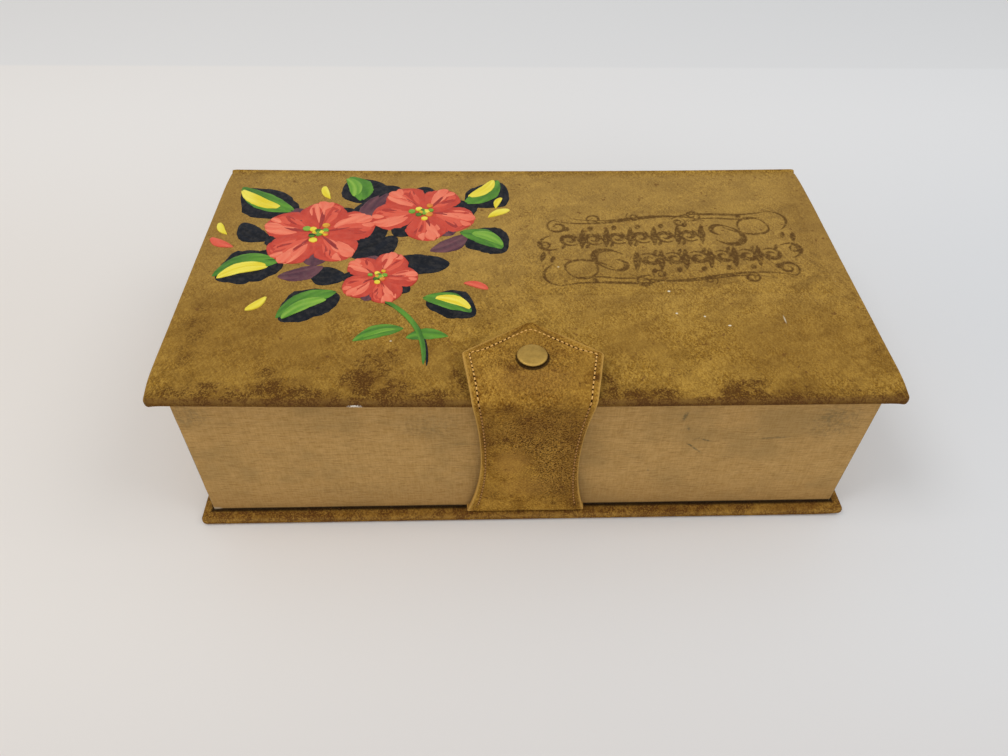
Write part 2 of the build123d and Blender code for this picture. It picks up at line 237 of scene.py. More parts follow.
class Finish:
    """A material under construction. Every helper returns a socket that another one can take."""

    def __init__(self, name, **constants):
        self.material = bpy.data.materials.new(name)
        self.material.use_nodes = True
        self.tree = self.material.node_tree
        self.shader = self.tree.nodes["Principled BSDF"]
        self.place = self.add("TexCoord").outputs["Object"]
        for socket, value in constants.items():
            self.shader.inputs[socket.replace("_", " ")].default_value = value

    def add(self, kind, inputs=None, **settings):
        """A node with its options set, and each input written in, or linked if it is a socket."""
        made = self.tree.nodes.new("ShaderNode" + kind)
        for option, value in settings.items():
            setattr(made, option, value)
        for socket, value in (inputs or {}).items():
            if isinstance(value, bpy.types.NodeSocket):
                self.tree.links.new(value, made.inputs[socket])
            else:
                made.inputs[socket].default_value = value
        return made

    def frame_of(self, size, at=(0, 0, 0), turn=0.0, tilt=0.0):
        """Coordinates centred on a point, turned about Z or tilted about Y, and counted in units of size;
        all in mm."""
        size = np.broadcast_to(np.array(size, float), 3)
        mapping = {"Vector": self.place, "Location": tuple(np.array(at) * MM),
                   "Rotation": (0, math.radians(tilt), math.radians(turn)), "Scale": tuple(size * MM)}
        return self.add("Mapping", mapping, vector_type="TEXTURE").outputs["Vector"]

    def noise(self, size, detail=3, rough=0.5, turn=0.0, shift=(0, 0, 0), tilt=0.0):
        """Cloudy noise from 0 to 1 whose blobs are about size mm across."""
        inputs = {"Vector": self.frame_of(size, shift, turn, tilt), "Scale": 1.0, "Detail": detail,
                  "Roughness": rough}
        return self.add("TexNoise", inputs).outputs["Fac"]

    def along(self, axis):
        """The position along one axis, in mm."""
        split = self.add("SeparateXYZ", {"Vector": self.place}).outputs[axis]
        return self.times(split, 1000)

    def mark(self, name):
        """The number that a piece carries at each point, or nothing where it has none."""
        return self.add("Attribute", attribute_name=name).outputs["Fac"]

    def sum(self, operation, first, second=0.0):
        """One step of arithmetic on two numbers or sockets."""
        return self.add("Math", {0: first, 1: second}, operation=operation).outputs[0]

    def times(self, first, second):
        """Two numbers or sockets multiplied."""
        return self.sum("MULTIPLY", first, second)

    def between(self, value, start, end, low=0.0, high=1.0):
        """low before start, high after end, with an S-curve between."""
        inputs = {"Value": value, "From Min": start, "From Max": end, "To Min": low, "To Max": high}
        made = self.add("MapRange", inputs, interpolation_type="SMOOTHSTEP")
        return made.outputs["Result"]

    def spot(self, at, radii, tilt=0.0):
        """1 in the middle of an ellipsoid and 0 outside it; centre and radii in mm."""
        length = self.add("VectorMath", {0: self.frame_of(radii, at, 0.0, tilt)}, operation="LENGTH")
        return self.between(length.outputs["Value"], 1.0, 0.25)

    def blend(self, amount, first, second):
        """A colour between two, by an amount from 0 to 1."""
        return self.add("Mix", {0: amount, 6: first, 7: second}, data_type="RGBA").outputs[2]

    def tint(self, colour, amount, part, tone):
        """A colour with part of it, given by an amount times a number, turned to another tone."""
        return self.blend(self.times(amount, part), colour, tone)

    def spotted(self, colour, spots, tone, ragged=None):
        """A colour with a list of spots, each (centre, radii, strength), turned to a tone. Ragged, from
        0 to 1, breaks their edges up."""
        for at, radii, strength in spots:
            amount = self.spot(at, radii)
            if ragged is not None:
                amount = self.between(self.times(amount, ragged), 0.1, 0.5)
            colour = self.tint(colour, amount, strength, tone)
        return colour

    def reaching(self, reach, spots):
        """The larger of a number and of each spot of a list, (centre, radii, strength)."""
        for at, radii, strength in spots:
            reach = self.sum("MAXIMUM", reach, self.times(self.spot(at, radii), strength))
        return reach

    def coloured(self, colour, height=None, roughness=None):
        """Finishes the material: its colour, a bump of a height in mm, and its roughness."""
        self.tree.links.new(colour, self.shader.inputs["Base Color"])
        if roughness is not None:
            self.tree.links.new(roughness, self.shader.inputs["Roughness"])
        if height is not None:
            bump = self.add("Bump", {"Height": height, "Strength": 1.0, "Distance": MM})
            self.tree.links.new(bump.outputs["Normal"], self.shader.inputs["Normal"])
        return self.material


# %% [markdown]
# ## Suede
# Suede is leather with its nap up: golden brown, mottled where the nap lies this way or that, with
# hardly any shine. Handling has left dark stains along the lid's front edge and on the base's lip, and
# worn rims lighter. Painted shade darkens parts of the lid's top, its rounded front face, the lip along
# the tray, and the strap's front, a ring round its cap and its stitch groove; painted light brightens
# the lid's middle. Nine layers of noise make the mottling, and the stretched ones its brushed streaks.


# %% The suede of the case and of the strap
# Layers of nap: size in mm, detail, turn in degrees, shift, start and end in the noise, amount, and tone
NAP_LAYERS = (
    (1.0, 3, 0, 0, 0.47, 0.54, 0.62, "light"),
    (0.8, 3, 0, 7, 0.50, 0.56, 0.72, "deep"),
    ((0.7, 3.0, 0.7), 3, -18, 4, 0.50, 0.57, 0.5, "light"),
    ((0.8, 5.5, 0.8), 4, 28, 0, 0.50, 0.57, 0.42, "deep"),
    ((6, 3.2, 6), 4, 24, 5, 0.48, 0.60, 0.22, "deep"),
    ((10, 5, 10), 5, 30, 2, 0.49, 0.60, 0.20, "light"),
    ((26, 12, 26), 5, 24, 9, 0.48, 0.60, 0.33, "deep"),
    (19, 5, 0, 0, 0.47, 0.60, 0.24, "light"),
    (60, 3, 0, 0, 0.46, 0.62, 0.16, "deep"))
NAP_ROUGH = 0.62


def nap_colour(finish, body, deep, light):
    """Mottled nap: each layer of noise turns part of the colour towards deep or light. Grain under a
    millimetre comes first, then brushed streaks, and patches and broad clouds lie over it all."""
    colour = body
    tones = {"deep": deep, "light": light}
    for size, detail, turn, shift, start, end, amount, tone in NAP_LAYERS:
        noise = finish.noise(size, detail, NAP_ROUGH, turn, (shift, shift / 2, shift / 3))
        colour = finish.tint(colour, finish.between(noise, start, end), amount, tones[tone])
    return colour


def suede_finish(name, roughness, body, deep, light):
    """A new suede and its nap colour: hardly any shine, and a faint warm sheen."""
    suede = Finish(name, Roughness=roughness, Sheen_Weight=0.03, Sheen_Roughness=0.6, Specular_IOR_Level=0.06)
    suede.shader.inputs["Sheen Tint"].default_value = screen(214, 170, 96)
    return suede, nap_colour(suede, body, deep, light)


def nap_height(finish, depth):
    """The nap's relief in mm: grain and short streaks."""
    grain = finish.noise(0.9, 4, 0.65)
    streaks = finish.noise((0.8, 3.2, 0.8), 3, 0.6, turn=28)
    return finish.times(finish.sum("ADD", grain, streaks), depth)


def speckled(finish, reach):
    """How dark a stain is: its reach, from 0 to 1, times fine speckle and times clumps, so that a weak
    stain is a scatter of specks and a strong one nearly closes up."""
    fine = finish.between(finish.noise(0.7, 3, 0.62, shift=(2, 8, 4)), 0.38, 0.60, 0.2, 1.35)
    clumps = finish.between(finish.noise(6.5, 5, 0.66, shift=(6, 1, 9)), 0.36, 0.62, 0.2, 1.25)
    return finish.between(finish.times(reach, finish.times(fine, clumps)), 0.08, 0.74)


def case_suede():
    """The case's suede, with stains placed by height and by distance from the front edge, and with
    painted light and shade on the lid and on the lip.
    """
    suede, colour = suede_finish("case_suede", 0.95, screen(148, 108, 31), screen(92, 59, 12),
                                 screen(190, 150, 68))
    height = suede.along("Z")
    on_lid = suede.between(height, 60, 70)
    depth_in = suede.sum("SUBTRACT", suede.along("Y"), float(front))
    # Painted light: the lid's top is lighter across its middle, from 26 mm behind its front to near its back.
    lid_painted_light = suede.times(suede.between(depth_in, 26, 110), on_lid)
    lid_painted_light = suede.times(lid_painted_light, suede.between(depth_in, 168.3, 160))
    colour = suede.tint(colour, lid_painted_light, 0.34, screen(176, 146, 90))
    # Painted shade: spots on the lid's top, darker where less light falls
    colour = suede.spotted(colour, LID_PAINTED_SHADE, screen(112, 76, 30))
    edge_band = suede.times(suede.between(depth_in, 9, 0), on_lid)
    lip_band = suede.between(height, 12, 5)
    rear_band = suede.times(suede.between(height, 8, 1), 0.5)
    reach = suede.sum("MAXIMUM", suede.times(edge_band, 0.5), suede.times(lip_band, 0.5))
    reach = suede.reaching(suede.sum("MAXIMUM", reach, rear_band), STAINS)
    colour = suede.tint(colour, suede.mark("wear"), 0.5, screen(196, 158, 86))
    colour = suede.tint(colour, suede.between(reach, 0.1, 1.0), 0.34, screen(98, 62, 25))
    colour = suede.tint(colour, speckled(suede, reach), 0.77, screen(70, 39, 17))
    # Partly handling grime and partly painted shade: the lid's rounded front face, its last 2.4 mm, darkens.
    front_face_grime_and_shade = suede.times(suede.between(depth_in, 2.4, 0.2), on_lid)
    colour = suede.tint(colour, front_face_grime_and_shade, 0.62, screen(84, 52, 26))
    on_lip = suede.times(lip_band, suede.between(suede.along("Y"), 80, 70))
    colour = suede.tint(colour, on_lip, 0.2, screen(118, 72, 38))
    # Painted shade: the lip goes near black within 1.8 mm of the tray's walls, in the gap under the cloth.
    from_end = suede.sum("SUBTRACT", float(tray_right), suede.sum("ABSOLUTE", suede.along("X")))
    from_wall = suede.sum("MINIMUM", from_end, suede.sum("SUBTRACT", suede.along("Y"), float(tray_front)))
    lip_gap_shade = suede.times(lip_band, suede.between(from_wall, -1.8, -0.3))
    lip_gap_shade = suede.times(lip_gap_shade, suede.between(suede.along("Y"), 80, 70))
    colour = suede.tint(colour, lip_gap_shade, 0.9, screen(30, 18, 10))
    specks = suede.between(suede.noise(3.2, 2, 0.5, shift=(7, 3, 1)), 0.66, 0.74)
    colour = suede.tint(colour, specks, 0.6, screen(100, 64, 34))
    ragged = suede.between(suede.noise(1.1, 2, 0.6, shift=(1, 6, 2)), 0.36, 0.58)
    colour = suede.spotted(colour, LINT, screen(238, 230, 208))
    colour = suede.spotted(colour, CHIP, screen(226, 218, 204), ragged)
    patchy = suede.between(suede.noise(1.4, 5, 0.72, shift=(5, 5, 5)), 0.36, 0.52, 0.3, 1.0)
    pressed = suede.times(suede.mark("stamp"), patchy)
    colour = suede.tint(colour, pressed, 0.8, screen(72, 46, 24))
    return suede.coloured(colour, nap_height(suede, 0.27))


def on_top(x, inward, wide, deep, strength):
    """A spot on the lid's top: place and radii along and inwards from the front edge, and strength."""
    return (x, front + inward, lid_top), (wide, deep, 20), strength


# Stains, painted shade, lint and a chip, by place
STAINS = [on_top(*spot) for spot in (
    (-124, 4, 34, 9, 0.75), (-101, 5, 26, 10, 0.9), (-83, 2, 18, 7, 0.9), (-92, 8, 10, 8, 0.7),
    (-67, 10.5, 14, 12, 0.95), (-56, 5, 15, 10, 1.0), (-43, 2, 19, 8, 0.8), (-63, 22, 19, 12, 0.55),
    (-106, 15, 7, 6, 0.5), (-30, 9, 7, 17, 0.6), (31, 8, 6, 15, 0.6), (41, 1, 12, 9, 0.85),
    (52, 1, 10, 9, 1.0), (83, 3, 18, 11, 1.0), (91, 8, 8, 6, 0.6), (101, 1, 17, 8, 0.85),
    (111, 5.5, 6, 5, 0.5), (60, 16, 10, 8, 0.35), (128, 3, 16, 8, 0.5), (-140, 34, 10, 44, 0.32),
    (147, 50, 8, 60, 0.34), (4, 62, 9, 5, 0.4), (100, 140, 40, 14, 0.16), (20, 30, 8, 6, 0.3))]
STAINS += [((-92, front, base_top), (50, 12, 8), 0.66), ((-30, front, base_top), (34, 12, 8), 0.7),
           ((64, front, base_top), (34, 12, 8), 0.7), ((132, front, base_top), (12, 12, 8), 0.6)]
# Painted shade: the lid's top darker at its left and right ends and to the right of the strap
LID_PAINTED_SHADE = [on_top(*spot) for spot in (
    (-120, 40, 60, 46, 0.42), (-60, 20, 60, 26, 0.3), (120, 30, 60, 34, 0.34), (44, 34, 26, 20, 0.26),
    (-150, 110, 26, 70, 0.3), (150, 120, 24, 70, 0.3))]
LINT = [on_top(*spot) for spot in (
    (64.7, 66.2, 0.9, 0.7, 1.0), (65.5, 51.2, 0.8, 0.7, 0.9), (87.1, 43.1, 1.0, 0.6, 1.0),
    (77.5, 49.1, 0.7, 0.7, 0.8), (112.2, 46.8, 0.5, 3.4, 0.5), (-58, 34, 0.7, 0.6, 0.6),
    (16, 84, 0.7, 0.6, 0.6))]
CHIP = [((-69.8, front, lid_top - 2.3), (4.2, 3.5, 1.8), 1.0)]
suede = case_suede()


def strap_suede():
    """The strap's suede: a coarser grain of dark pits where it bends, brown handling marks, pale worn rims,
    and painted shade down its front, in a ring round the cap and along the stitch groove."""
    suede, colour = suede_finish("strap_suede", 0.94, screen(154, 110, 36), screen(95, 58, 13),
                                 screen(200, 155, 68))
    pits = suede.between(suede.noise((0.6, 1.0, 0.8), 3, 0.6, tilt=40), 0.49, 0.54)
    gaps = suede.between(suede.noise(0.6, 2, 0.6, shift=(3, 3, 3)), 0.50, 0.58)
    for at, radii, amount in GRAINY:
        where = suede.spot(at, radii)
        colour = suede.tint(colour, suede.times(pits, where), amount, screen(56, 32, 10))
        colour = suede.tint(colour, suede.times(gaps, where), 0.6 * amount, screen(194, 148, 72))
    soiled = speckled(suede, suede.times(suede.spot((0, front, 58), (44, 60, 44)), 0.3))
    colour = suede.tint(colour, soiled, 0.6, screen(96, 58, 22))
    colour = suede.spotted(colour, STRAP_PALE, screen(172, 128, 62))
    # Painted shade on the strap's upright front
    colour = suede.spotted(colour, STRAP_PAINTED_SHADE, screen(98, 62, 22))
    reach = suede.reaching(0.0, STRAP_STAINS_AND_SHADE)
    colour = suede.tint(colour, reach, 0.42, screen(98, 60, 24))
    colour = suede.tint(colour, speckled(suede, reach), 0.62, screen(70, 40, 16))
    # Painted shadow: a dark ring round the cap, shifted to its lower right, where the rim shades the suede.
    from_cap = suede.frame_of((1, 1, 1000), (snap_x + 0.25, snap_y - 0.35, 0))
    cap_shadow_ring = suede.add("VectorMath", {0: from_cap}, operation="LENGTH").outputs["Value"]
    on_tab = suede.between(suede.along("Z"), 84.5, 85.5)
    cap_shadow_ring = suede.times(suede.between(cap_shadow_ring, 7.4, 6.5), on_tab)
    colour = suede.tint(colour, cap_shadow_ring, 0.85, screen(38, 24, 14))
    specks = suede.between(suede.noise(3.4, 2, 0.5, shift=(5, 3, 1)), 0.66, 0.74)
    colour = suede.tint(colour, specks, 0.7, screen(92, 56, 24))
    colour = suede.tint(colour, suede.mark("wear"), 0.8, screen(204, 160, 84))
    # Painted shade in the stitch groove
    colour = suede.tint(colour, suede.mark("press"), 0.6, screen(84, 50, 20))
    return suede.coloured(colour, nap_height(suede, 0.34))


# Places on the strap: centre, radii in mm, and strength
GRAINY = (((6, front, 64), (34, 40, 26), 1.0), ((13, front, 38), (20, 40, 34), 1.0),
          ((0, front + 14, 88), (32, 28, 12), 0.5))
STRAP_PALE = (((-8, front, 44), (11, 40, 14), 0.45), ((-2, front, 26), (16, 40, 12), 0.3),
              ((-27, front, 6), (4, 8, 3.5), 0.8), ((0, front + 8, 87), (24, 9, 12), 0.25))
# Painted shade on the strap's upright front, strongest just below the crease
STRAP_PAINTED_SHADE = (((6, front, 68), (34, 40, 17), 0.32), ((20, front, 38), (14, 40, 40), 0.3),
                ((-22, front, 62), (8, 40, 30), 0.36), ((-14, front - 2, 81), (14, 8, 5), 0.3))
STRAP_STAINS_AND_SHADE = (((-10.7, front, 61.1), (2.4, 40, 2.2), 0.9), ((-17.5, front, 62), (7, 40, 26), 0.42),
                ((-9.6, front - 2, 81), (6, 7, 5), 0.62), ((25.4, -76.5, 86), (1.9, 2.6, 9), 1.3),
                ((snap_x - 7.0, snap_y - 5.6, 88), (6.5, 4.4, 10), 0.62),
                # The next spot is painted shade across the top of the strap's front, under the crease, not a
                # stain
                ((6, front, 76), (30, 40, 12), 0.32),
                ((snap_x + 9, snap_y + 3.4, 88), (9, 6, 10), 0.3), ((22, front, 12), (6, 40, 10), 0.5),
                ((12, front, 12), (2.4, 40, 2), 0.7), ((0, front, 14), (2.0, 40, 1.6), 0.6),
                ((-16, front, 22), (7, 40, 12), 0.32), ((12, front, 83), (16, 6, 5), 0.3),
                ((-24, -70, 88), (5, 12, 8), 0.35), ((26, -66, 88), (4, 12, 8), 0.3))
strap_finish = strap_suede()
print("suede finishes:", suede.name, strap_finish.name)

# %% [markdown]
# ## Book cloth, paper, board, brass and thread
# The tray wears a tan linen cloth with fine uneven threads both ways: noise squeezed to half a
# millimetre in one direction and drawn out in the others, once for the level threads and once upright.


# %% The other finishes
def book_cloth():
    """Linen: fine level threads over fainter upright ones, both in relief, marks of handling, and painted
    shade along its foot and at its left top under the lid.
    """
    cloth = Finish("book_cloth", Roughness=0.9, Specular_IOR_Level=0.15)
    upright = cloth.noise((0.6, 0.6, 6), 2, 0.6)
    level = cloth.noise((7, 7, 0.42), 2, 0.6)
    colour = cloth.blend(cloth.between(upright, 0.40, 0.62), screen(171, 133, 76), screen(182, 144, 86))
    colour = cloth.tint(colour, cloth.between(level, 0.43, 0.60), 0.5, screen(196, 158, 100))
    dark_threads = cloth.between(cloth.noise((4.5, 4.5, 0.5), 2, 0.6, shift=(4, 4, 4)), 0.55, 0.66)
    colour = cloth.tint(colour, dark_threads, 0.42, screen(124, 92, 50))
    knots = cloth.between(cloth.noise((1.5, 1.5, 0.9), 3, 0.65, shift=(2, 5, 1)), 0.46, 0.62)
    colour = cloth.tint(colour, knots, 0.26, screen(150, 114, 64))
    clouds = cloth.between(cloth.noise((30, 30, 22), 5, 0.62), 0.44, 0.66)
    colour = cloth.tint(colour, clouds, 0.42, screen(138, 112, 68))
    fine = cloth.between(cloth.noise(1.8, 4, 0.7), 0.44, 0.60, 0.25, 1.0)
    for at, radii, tilt, amount in CLOTH_MARKS_AND_SHADE:
        mark = cloth.times(cloth.spot(at, radii, tilt), fine)
        colour = cloth.tint(colour, mark, amount, screen(92, 84, 60))
    colour = cloth.tint(colour, cloth.between(cloth.along("Z"), 30, 4), 0.3, screen(142, 104, 56))
    # Painted shade: a dark band just above the cloth's foot, where the gap under the tray is in shade.
    foot_gap_shade = cloth.between(cloth.along("Z"), float(base_top) + 1.7, float(base_top) + 0.9)
    colour = cloth.tint(colour, foot_gap_shade, 0.92, screen(30, 18, 10))
    colour = cloth.spotted(colour, FRAY, screen(204, 186, 158))
    relief = cloth.sum("ADD", cloth.times(upright, 0.35), level)
    return cloth.coloured(colour, cloth.times(relief, 0.09))


# A frayed place at the tray's foot
FRAY = (((-142, tray_front, base_top + 1.4), (3.0, 4, 1.3), 0.6),)
# Scuffs and greyed places on the cloth, and the lid's painted shadow at its left top: centre and radii
# in mm, tilt in degrees, and strength
CLOTH_MARKS_AND_SHADE = (
    ((63.5, tray_front, 66), (1.6, 9, 4.5), 10, 0.75), ((66, tray_front, 59), (1.0, 9, 3), -20, 0.6),
    ((69.5, tray_front, 47), (4.6, 9, 0.7), 38, 0.9), ((72.6, tray_front, 44), (5.0, 9, 0.7), 40, 0.9),
    ((75.5, tray_front, 50.5), (4.6, 9, 0.7), 22, 0.9), ((71, tray_front, 51.5), (2.6, 9, 0.7), -30, 0.6),
    ((104.8, tray_front, 51.6), (12, 9, 1.0), -4, 0.55), ((96, tray_front, 56), (1.0, 9, 4), 30, 0.35),
    ((53.4, tray_front, 30.3), (0.9, 9, 1.3), 0, 0.9), ((128, tray_front, 62), (17, 9, 16), 0, 0.45),
    ((-42, tray_front, 62), (18, 9, 12), 0, 0.3), ((-30, tray_front, 50), (14, 9, 1.0), 2, 0.35),
    # The first spot of the next line is the lid's painted shadow on the cloth's left top
    ((-138, tray_front, 70), (12, 9, 10), 0, 0.4), ((-70, tray_front, 18), (46, 12, 9), 0, 0.16),
)


def lining_paper():
    """Matt lining paper: faint fibres and a few brown age spots."""
    paper = Finish("lining_paper", Roughness=0.9, Specular_IOR_Level=0.3)
    fibres = paper.between(paper.noise((0.6, 5, 0.6), 3, 0.6, turn=20), 0.35, 0.7)
    colour = paper.blend(fibres, screen(208, 194, 160), screen(222, 209, 176))
    clouds = paper.between(paper.noise(60, 4, 0.6), 0.4, 0.7)
    colour = paper.tint(colour, clouds, 0.35, screen(198, 178, 138))
    spots = paper.between(paper.noise(4.5, 3, 0.6, shift=(4, 4, 4)), 0.68, 0.76)
    colour = paper.tint(colour, spots, 0.5, screen(168, 136, 90))
    return paper.coloured(colour, paper.times(paper.noise(0.8, 3), 0.03))


def grey_board():
    """Pressed grey-brown board, with its layers showing as streaks."""
    board = Finish("grey_board", Roughness=0.95, Specular_IOR_Level=0.2)
    layers = board.noise((6, 6, 0.5), 3, 0.6)
    colour = board.blend(board.between(layers, 0.35, 0.7), screen(134, 122, 100), screen(166, 153, 128))
    return board.coloured(colour, board.times(layers, 0.08))


def antique_brass():
    """Brass gone dull: warm metal with a brown patina in clouds and fine handling marks."""
    brass = Finish("antique_brass", Metallic=1.0)
    clouds = brass.between(brass.noise(3.2, 4, 0.65), 0.35, 0.72)
    colour = brass.blend(clouds, screen(202, 166, 88), screen(180, 146, 76))
    spots = brass.between(brass.noise(0.6, 3, 0.6), 0.62, 0.75)
    colour = brass.tint(colour, spots, 0.35, screen(104, 84, 50))
    colour = brass.blend(brass.mark("tarnish"), colour, screen(70, 52, 32))
    roughness = brass.between(brass.noise(1.5, 4, 0.6), 0.3, 0.7, 0.48, 0.62)
    return brass.coloured(colour, brass.times(brass.noise(0.35, 3), 0.01), roughness)


def sewing_thread():
    """Tan thread: two plies twisted, lighter on the crowns, and darker brown down the strap's front."""
    thread = Finish("sewing_thread", Roughness=0.7, Specular_IOR_Level=0.12)
    plies = thread.noise((0.25, 0.5, 0.25), 2, 0.5, turn=40)
    tab_tone = thread.blend(thread.between(plies, 0.4, 0.65), screen(206, 154, 80), screen(238, 192, 114))
    front_tone = thread.blend(thread.between(plies, 0.4, 0.65), screen(150, 106, 56), screen(190, 142, 80))
    colour = thread.blend(thread.between(thread.along("Z"), 80, 86), front_tone, tab_tone)
    return thread.coloured(colour, thread.times(plies, 0.1))


def needle_hole_shade():
    """Painted shade in a needle hole: near black brown."""
    hole_shade = Finish("needle_hole_shade", Roughness=1.0, Specular_IOR_Level=0.0)
    shade = hole_shade.noise(0.6, 2)
    return hole_shade.coloured(hole_shade.blend(shade, screen(28, 16, 8), screen(48, 29, 14)))


cloth = book_cloth()
paper = lining_paper()
board = grey_board()
brass = antique_brass()
thread = sewing_thread()
hole_shade = needle_hole_shade()

# %% [markdown]
# ## CAD nodes that stay
# Boards, linings and the snap's inner parts have the right shape already. Only their finish is new.

# %% Finish the nodes by their slot
finish_of_slot = {"suede": suede, "board": board, "book_cloth": cloth, "lining_paper": paper,
                  "thread": thread, "brass": brass}
for subpart in frame["record"]["subparts"]:
    node_object = nodes[subpart["node"]]
    node_object.data.materials.clear()
    node_object.data.materials.append(finish_of_slot[subpart["material_slot"]])
print(len(nodes), "nodes have a finish")

# %% [markdown]
# ## Covered boards
# A covered board is a flat plate with soft round edges, because suede is pulled over the board and
# turned in. Seen from above it is a rectangle with rounded corners. A square grid is bent into that
# outline by squeezing its corner cells into a quarter disc, and the plate's thickness follows a circle
# over the last few millimetres, so top and bottom meet in a round edge with no seam. The round is a
# little squarer than a circle: the powers of the two distances add up to one, with 2.5 for the power.


# %% The outline of a covered board
CORNER = 2.1
SQUARE = 2.5


def edge_stops(reach, count=7):
    """Distances from a border, closer together near it, as the points of a quarter circle lie."""
    return reach * (1 - np.cos(np.linspace(0, np.pi / 2, count)))


def stops(low, high, reach, step):
    """Grid lines from low to high: packed at both round edges, even between them."""
    near = low + edge_stops(reach)
    middle = np.linspace(low + reach, high - reach, max(2, round((high - low) / step)))
    return np.concatenate([near[:-1], middle, (high + low - near)[-2::-1]])


def rounded_outline(columns, rows, corner):
    """Bends a grid of lines into a rectangle with rounded corners. Returns x, y and, for each point,
    how full the plate is there: 0 at the border, rising steeply to 1 a corner radius in."""
    x, y = np.meshgrid(columns, rows)
    middle_x, middle_y = (columns[0] + columns[-1]) / 2, (rows[0] + rows[-1]) / 2
    half_x, half_y = (columns[-1] - columns[0]) / 2, (rows[-1] - rows[0]) / 2
    over_x = np.clip((np.abs(x - middle_x) - half_x + corner) / corner, 0, 1)
    over_y = np.clip((np.abs(y - middle_y) - half_y + corner) / corner, 0, 1)
    disc_x = over_x * np.sqrt(1 - over_y ** 2 / 2)
    disc_y = over_y * np.sqrt(1 - over_x ** 2 / 2)
    x = x + np.sign(x - middle_x) * corner * (disc_x - over_x)
    y = y + np.sign(y - middle_y) * corner * (disc_y - over_y)
    outward = np.clip(np.hypot(disc_x, disc_y), 0, 1)
    return x, y, (1 - outward ** SQUARE) ** (1 / SQUARE)


def rim_wear(fullness):
    """Lighter suede on a round edge, strongest a little way over the turn."""
    return bell(fullness - 0.55, 0.35)


LID_INSET = 0.9
lid_columns = stops(left + LID_INSET, right - LID_INSET, CORNER, 1.6)


def drawn_in(x, y):
    """x with the lid's four corners pulled inwards a little, where the suede has been handled round:
    more at the front corners than at the rear ones."""
    end = np.abs(right - np.abs(x))
    pull = 1.2 * bell(np.hypot(end, y - front), 9) + 0.8 * bell(np.hypot(end, back - y), 11)
    return x - np.sign(x) * pull


# %% [markdown]
# ## The lid
# The suede swells a little over the board. The two front corners have curled down with use, and the
# folded suede hangs below them. Underneath, the turned-in suede stands proud of the board.

# %% Lid suede
LID_PLATE_REAR = 80.4
TOP_CURL = 0.6
FOLD_HANG = 1.5


def corner_bell(x, y, width):
    """A bell round each front corner, 1 at the corner itself."""
    return bell(np.hypot(right - np.abs(x), y - front), width)


def turn_in_step(x, y):
    """The height of the lid's underside: low on the turned-in border, higher inside it."""
    inset = np.minimum(right - np.abs(x), y - front)
    return lid_under + lid_warp(x, y) + 0.6 * smoothstep(inset, 14, 16.5)


lid_x, lid_y, lid_full = rounded_outline(lid_columns, stops(front, LID_PLATE_REAR, CORNER, 1.6), CORNER)
lid_x = drawn_in(lid_x, lid_y)
edge_wave = 0.12 * ripple(lid_x, lid_y, 34, 11)
middle_z = (lid_top + lid_under) / 2 + lid_warp(lid_x, lid_y) + edge_wave * (1 - lid_full)
middle_z = middle_z - FOLD_HANG / 2 * corner_bell(lid_x, lid_y, 3.2)
upper_edge = lid_height(lid_x, lid_y) - TOP_CURL * corner_bell(lid_x, lid_y, 4)
lower_edge = turn_in_step(lid_x, lid_y) - FOLD_HANG * corner_bell(lid_x, lid_y, 4.2)
upper_z = middle_z + (upper_edge - middle_z) * lid_full
lower_z = middle_z + (lower_edge - middle_z) * lid_full
lid_skin = sheet(lid_x, lid_y, upper_z, lower_z)
lid_wear = outer_only(rim_wear(lid_full), lid_skin)
lid_suede = make_piece("lid_suede", lid_skin, suede, wear=lid_wear)
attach(lid_suede, "lid")
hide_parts("lid_cover")

# %% Lid board, warped the same way
BOARD_CORNER = 0.4
BOARD_HALF = 1.1  # half the board's thickness
board_columns = stops(left + 2.2, right - 2.2, BOARD_CORNER, 6)
board_rows = stops(front + 1.3, 80.2, BOARD_CORNER, 6)
board_x, board_y, board_full = rounded_outline(board_columns, board_rows, BOARD_CORNER)
board_x = drawn_in(board_x, board_y)
board_mid = (lid_top + lid_under) / 2 + lid_warp(board_x, board_y)
board_skin = sheet(board_x, board_y, board_mid + BOARD_HALF * board_full, board_mid - BOARD_HALF * board_full)
lid_board_piece = make_piece("lid_warped_board", board_skin, board)
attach(lid_board_piece, "lid")
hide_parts("lid_board")

# %% [markdown]
# ## The base
# The base is the same kind of plate, lying on the table. Its lip stands out in front and at the ends,
# where it has rubbed dark.

# %% Base suede
BASE_INSET = 0.6
RAISED_CORNER = 0.8  # how far the right front corner stands off the table
base_columns = stops(base_left + BASE_INSET, base_right - BASE_INSET, CORNER, 1.6)
base_x, base_y, base_full = rounded_outline(base_columns, stops(front, back - 0.1, CORNER, 2.4), CORNER)
base_middle = (base_top + base_under) / 2
base_swell = 0.1 * ripple(base_x, base_y, 40, 21)
base_upper = base_middle + (base_top + base_swell - 0.1 - base_middle) * base_full
base_lower = base_middle - (base_middle - base_under) * base_full
corner_lift = RAISED_CORNER * bell(np.hypot(base_right - base_x, base_y - front), 8)
base_upper, base_lower = base_upper + 0.4 * corner_lift, base_lower + corner_lift
base_skin = sheet(base_x, base_y, base_upper, base_lower)
base_wear = outer_only(rim_wear(base_full), base_skin)
base_suede = make_piece("base_suede", base_skin, suede, wear=0.6 * base_wear)
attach(base_suede, "tray_and_base")
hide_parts("base_cover")

# %% [markdown]
# ## The spine
# The spine is a covered board on edge behind the tray. Its suede comes round the rear bottom corner from
# under the base, so its outer line is a straight run with a quarter circle below. The sheet's two faces
# follow two lines, point by point, and the same outline as above closes its round edges.

# %% Spine suede
SPINE_TOP = 77.3
BOTTOM_BEND = 2.27


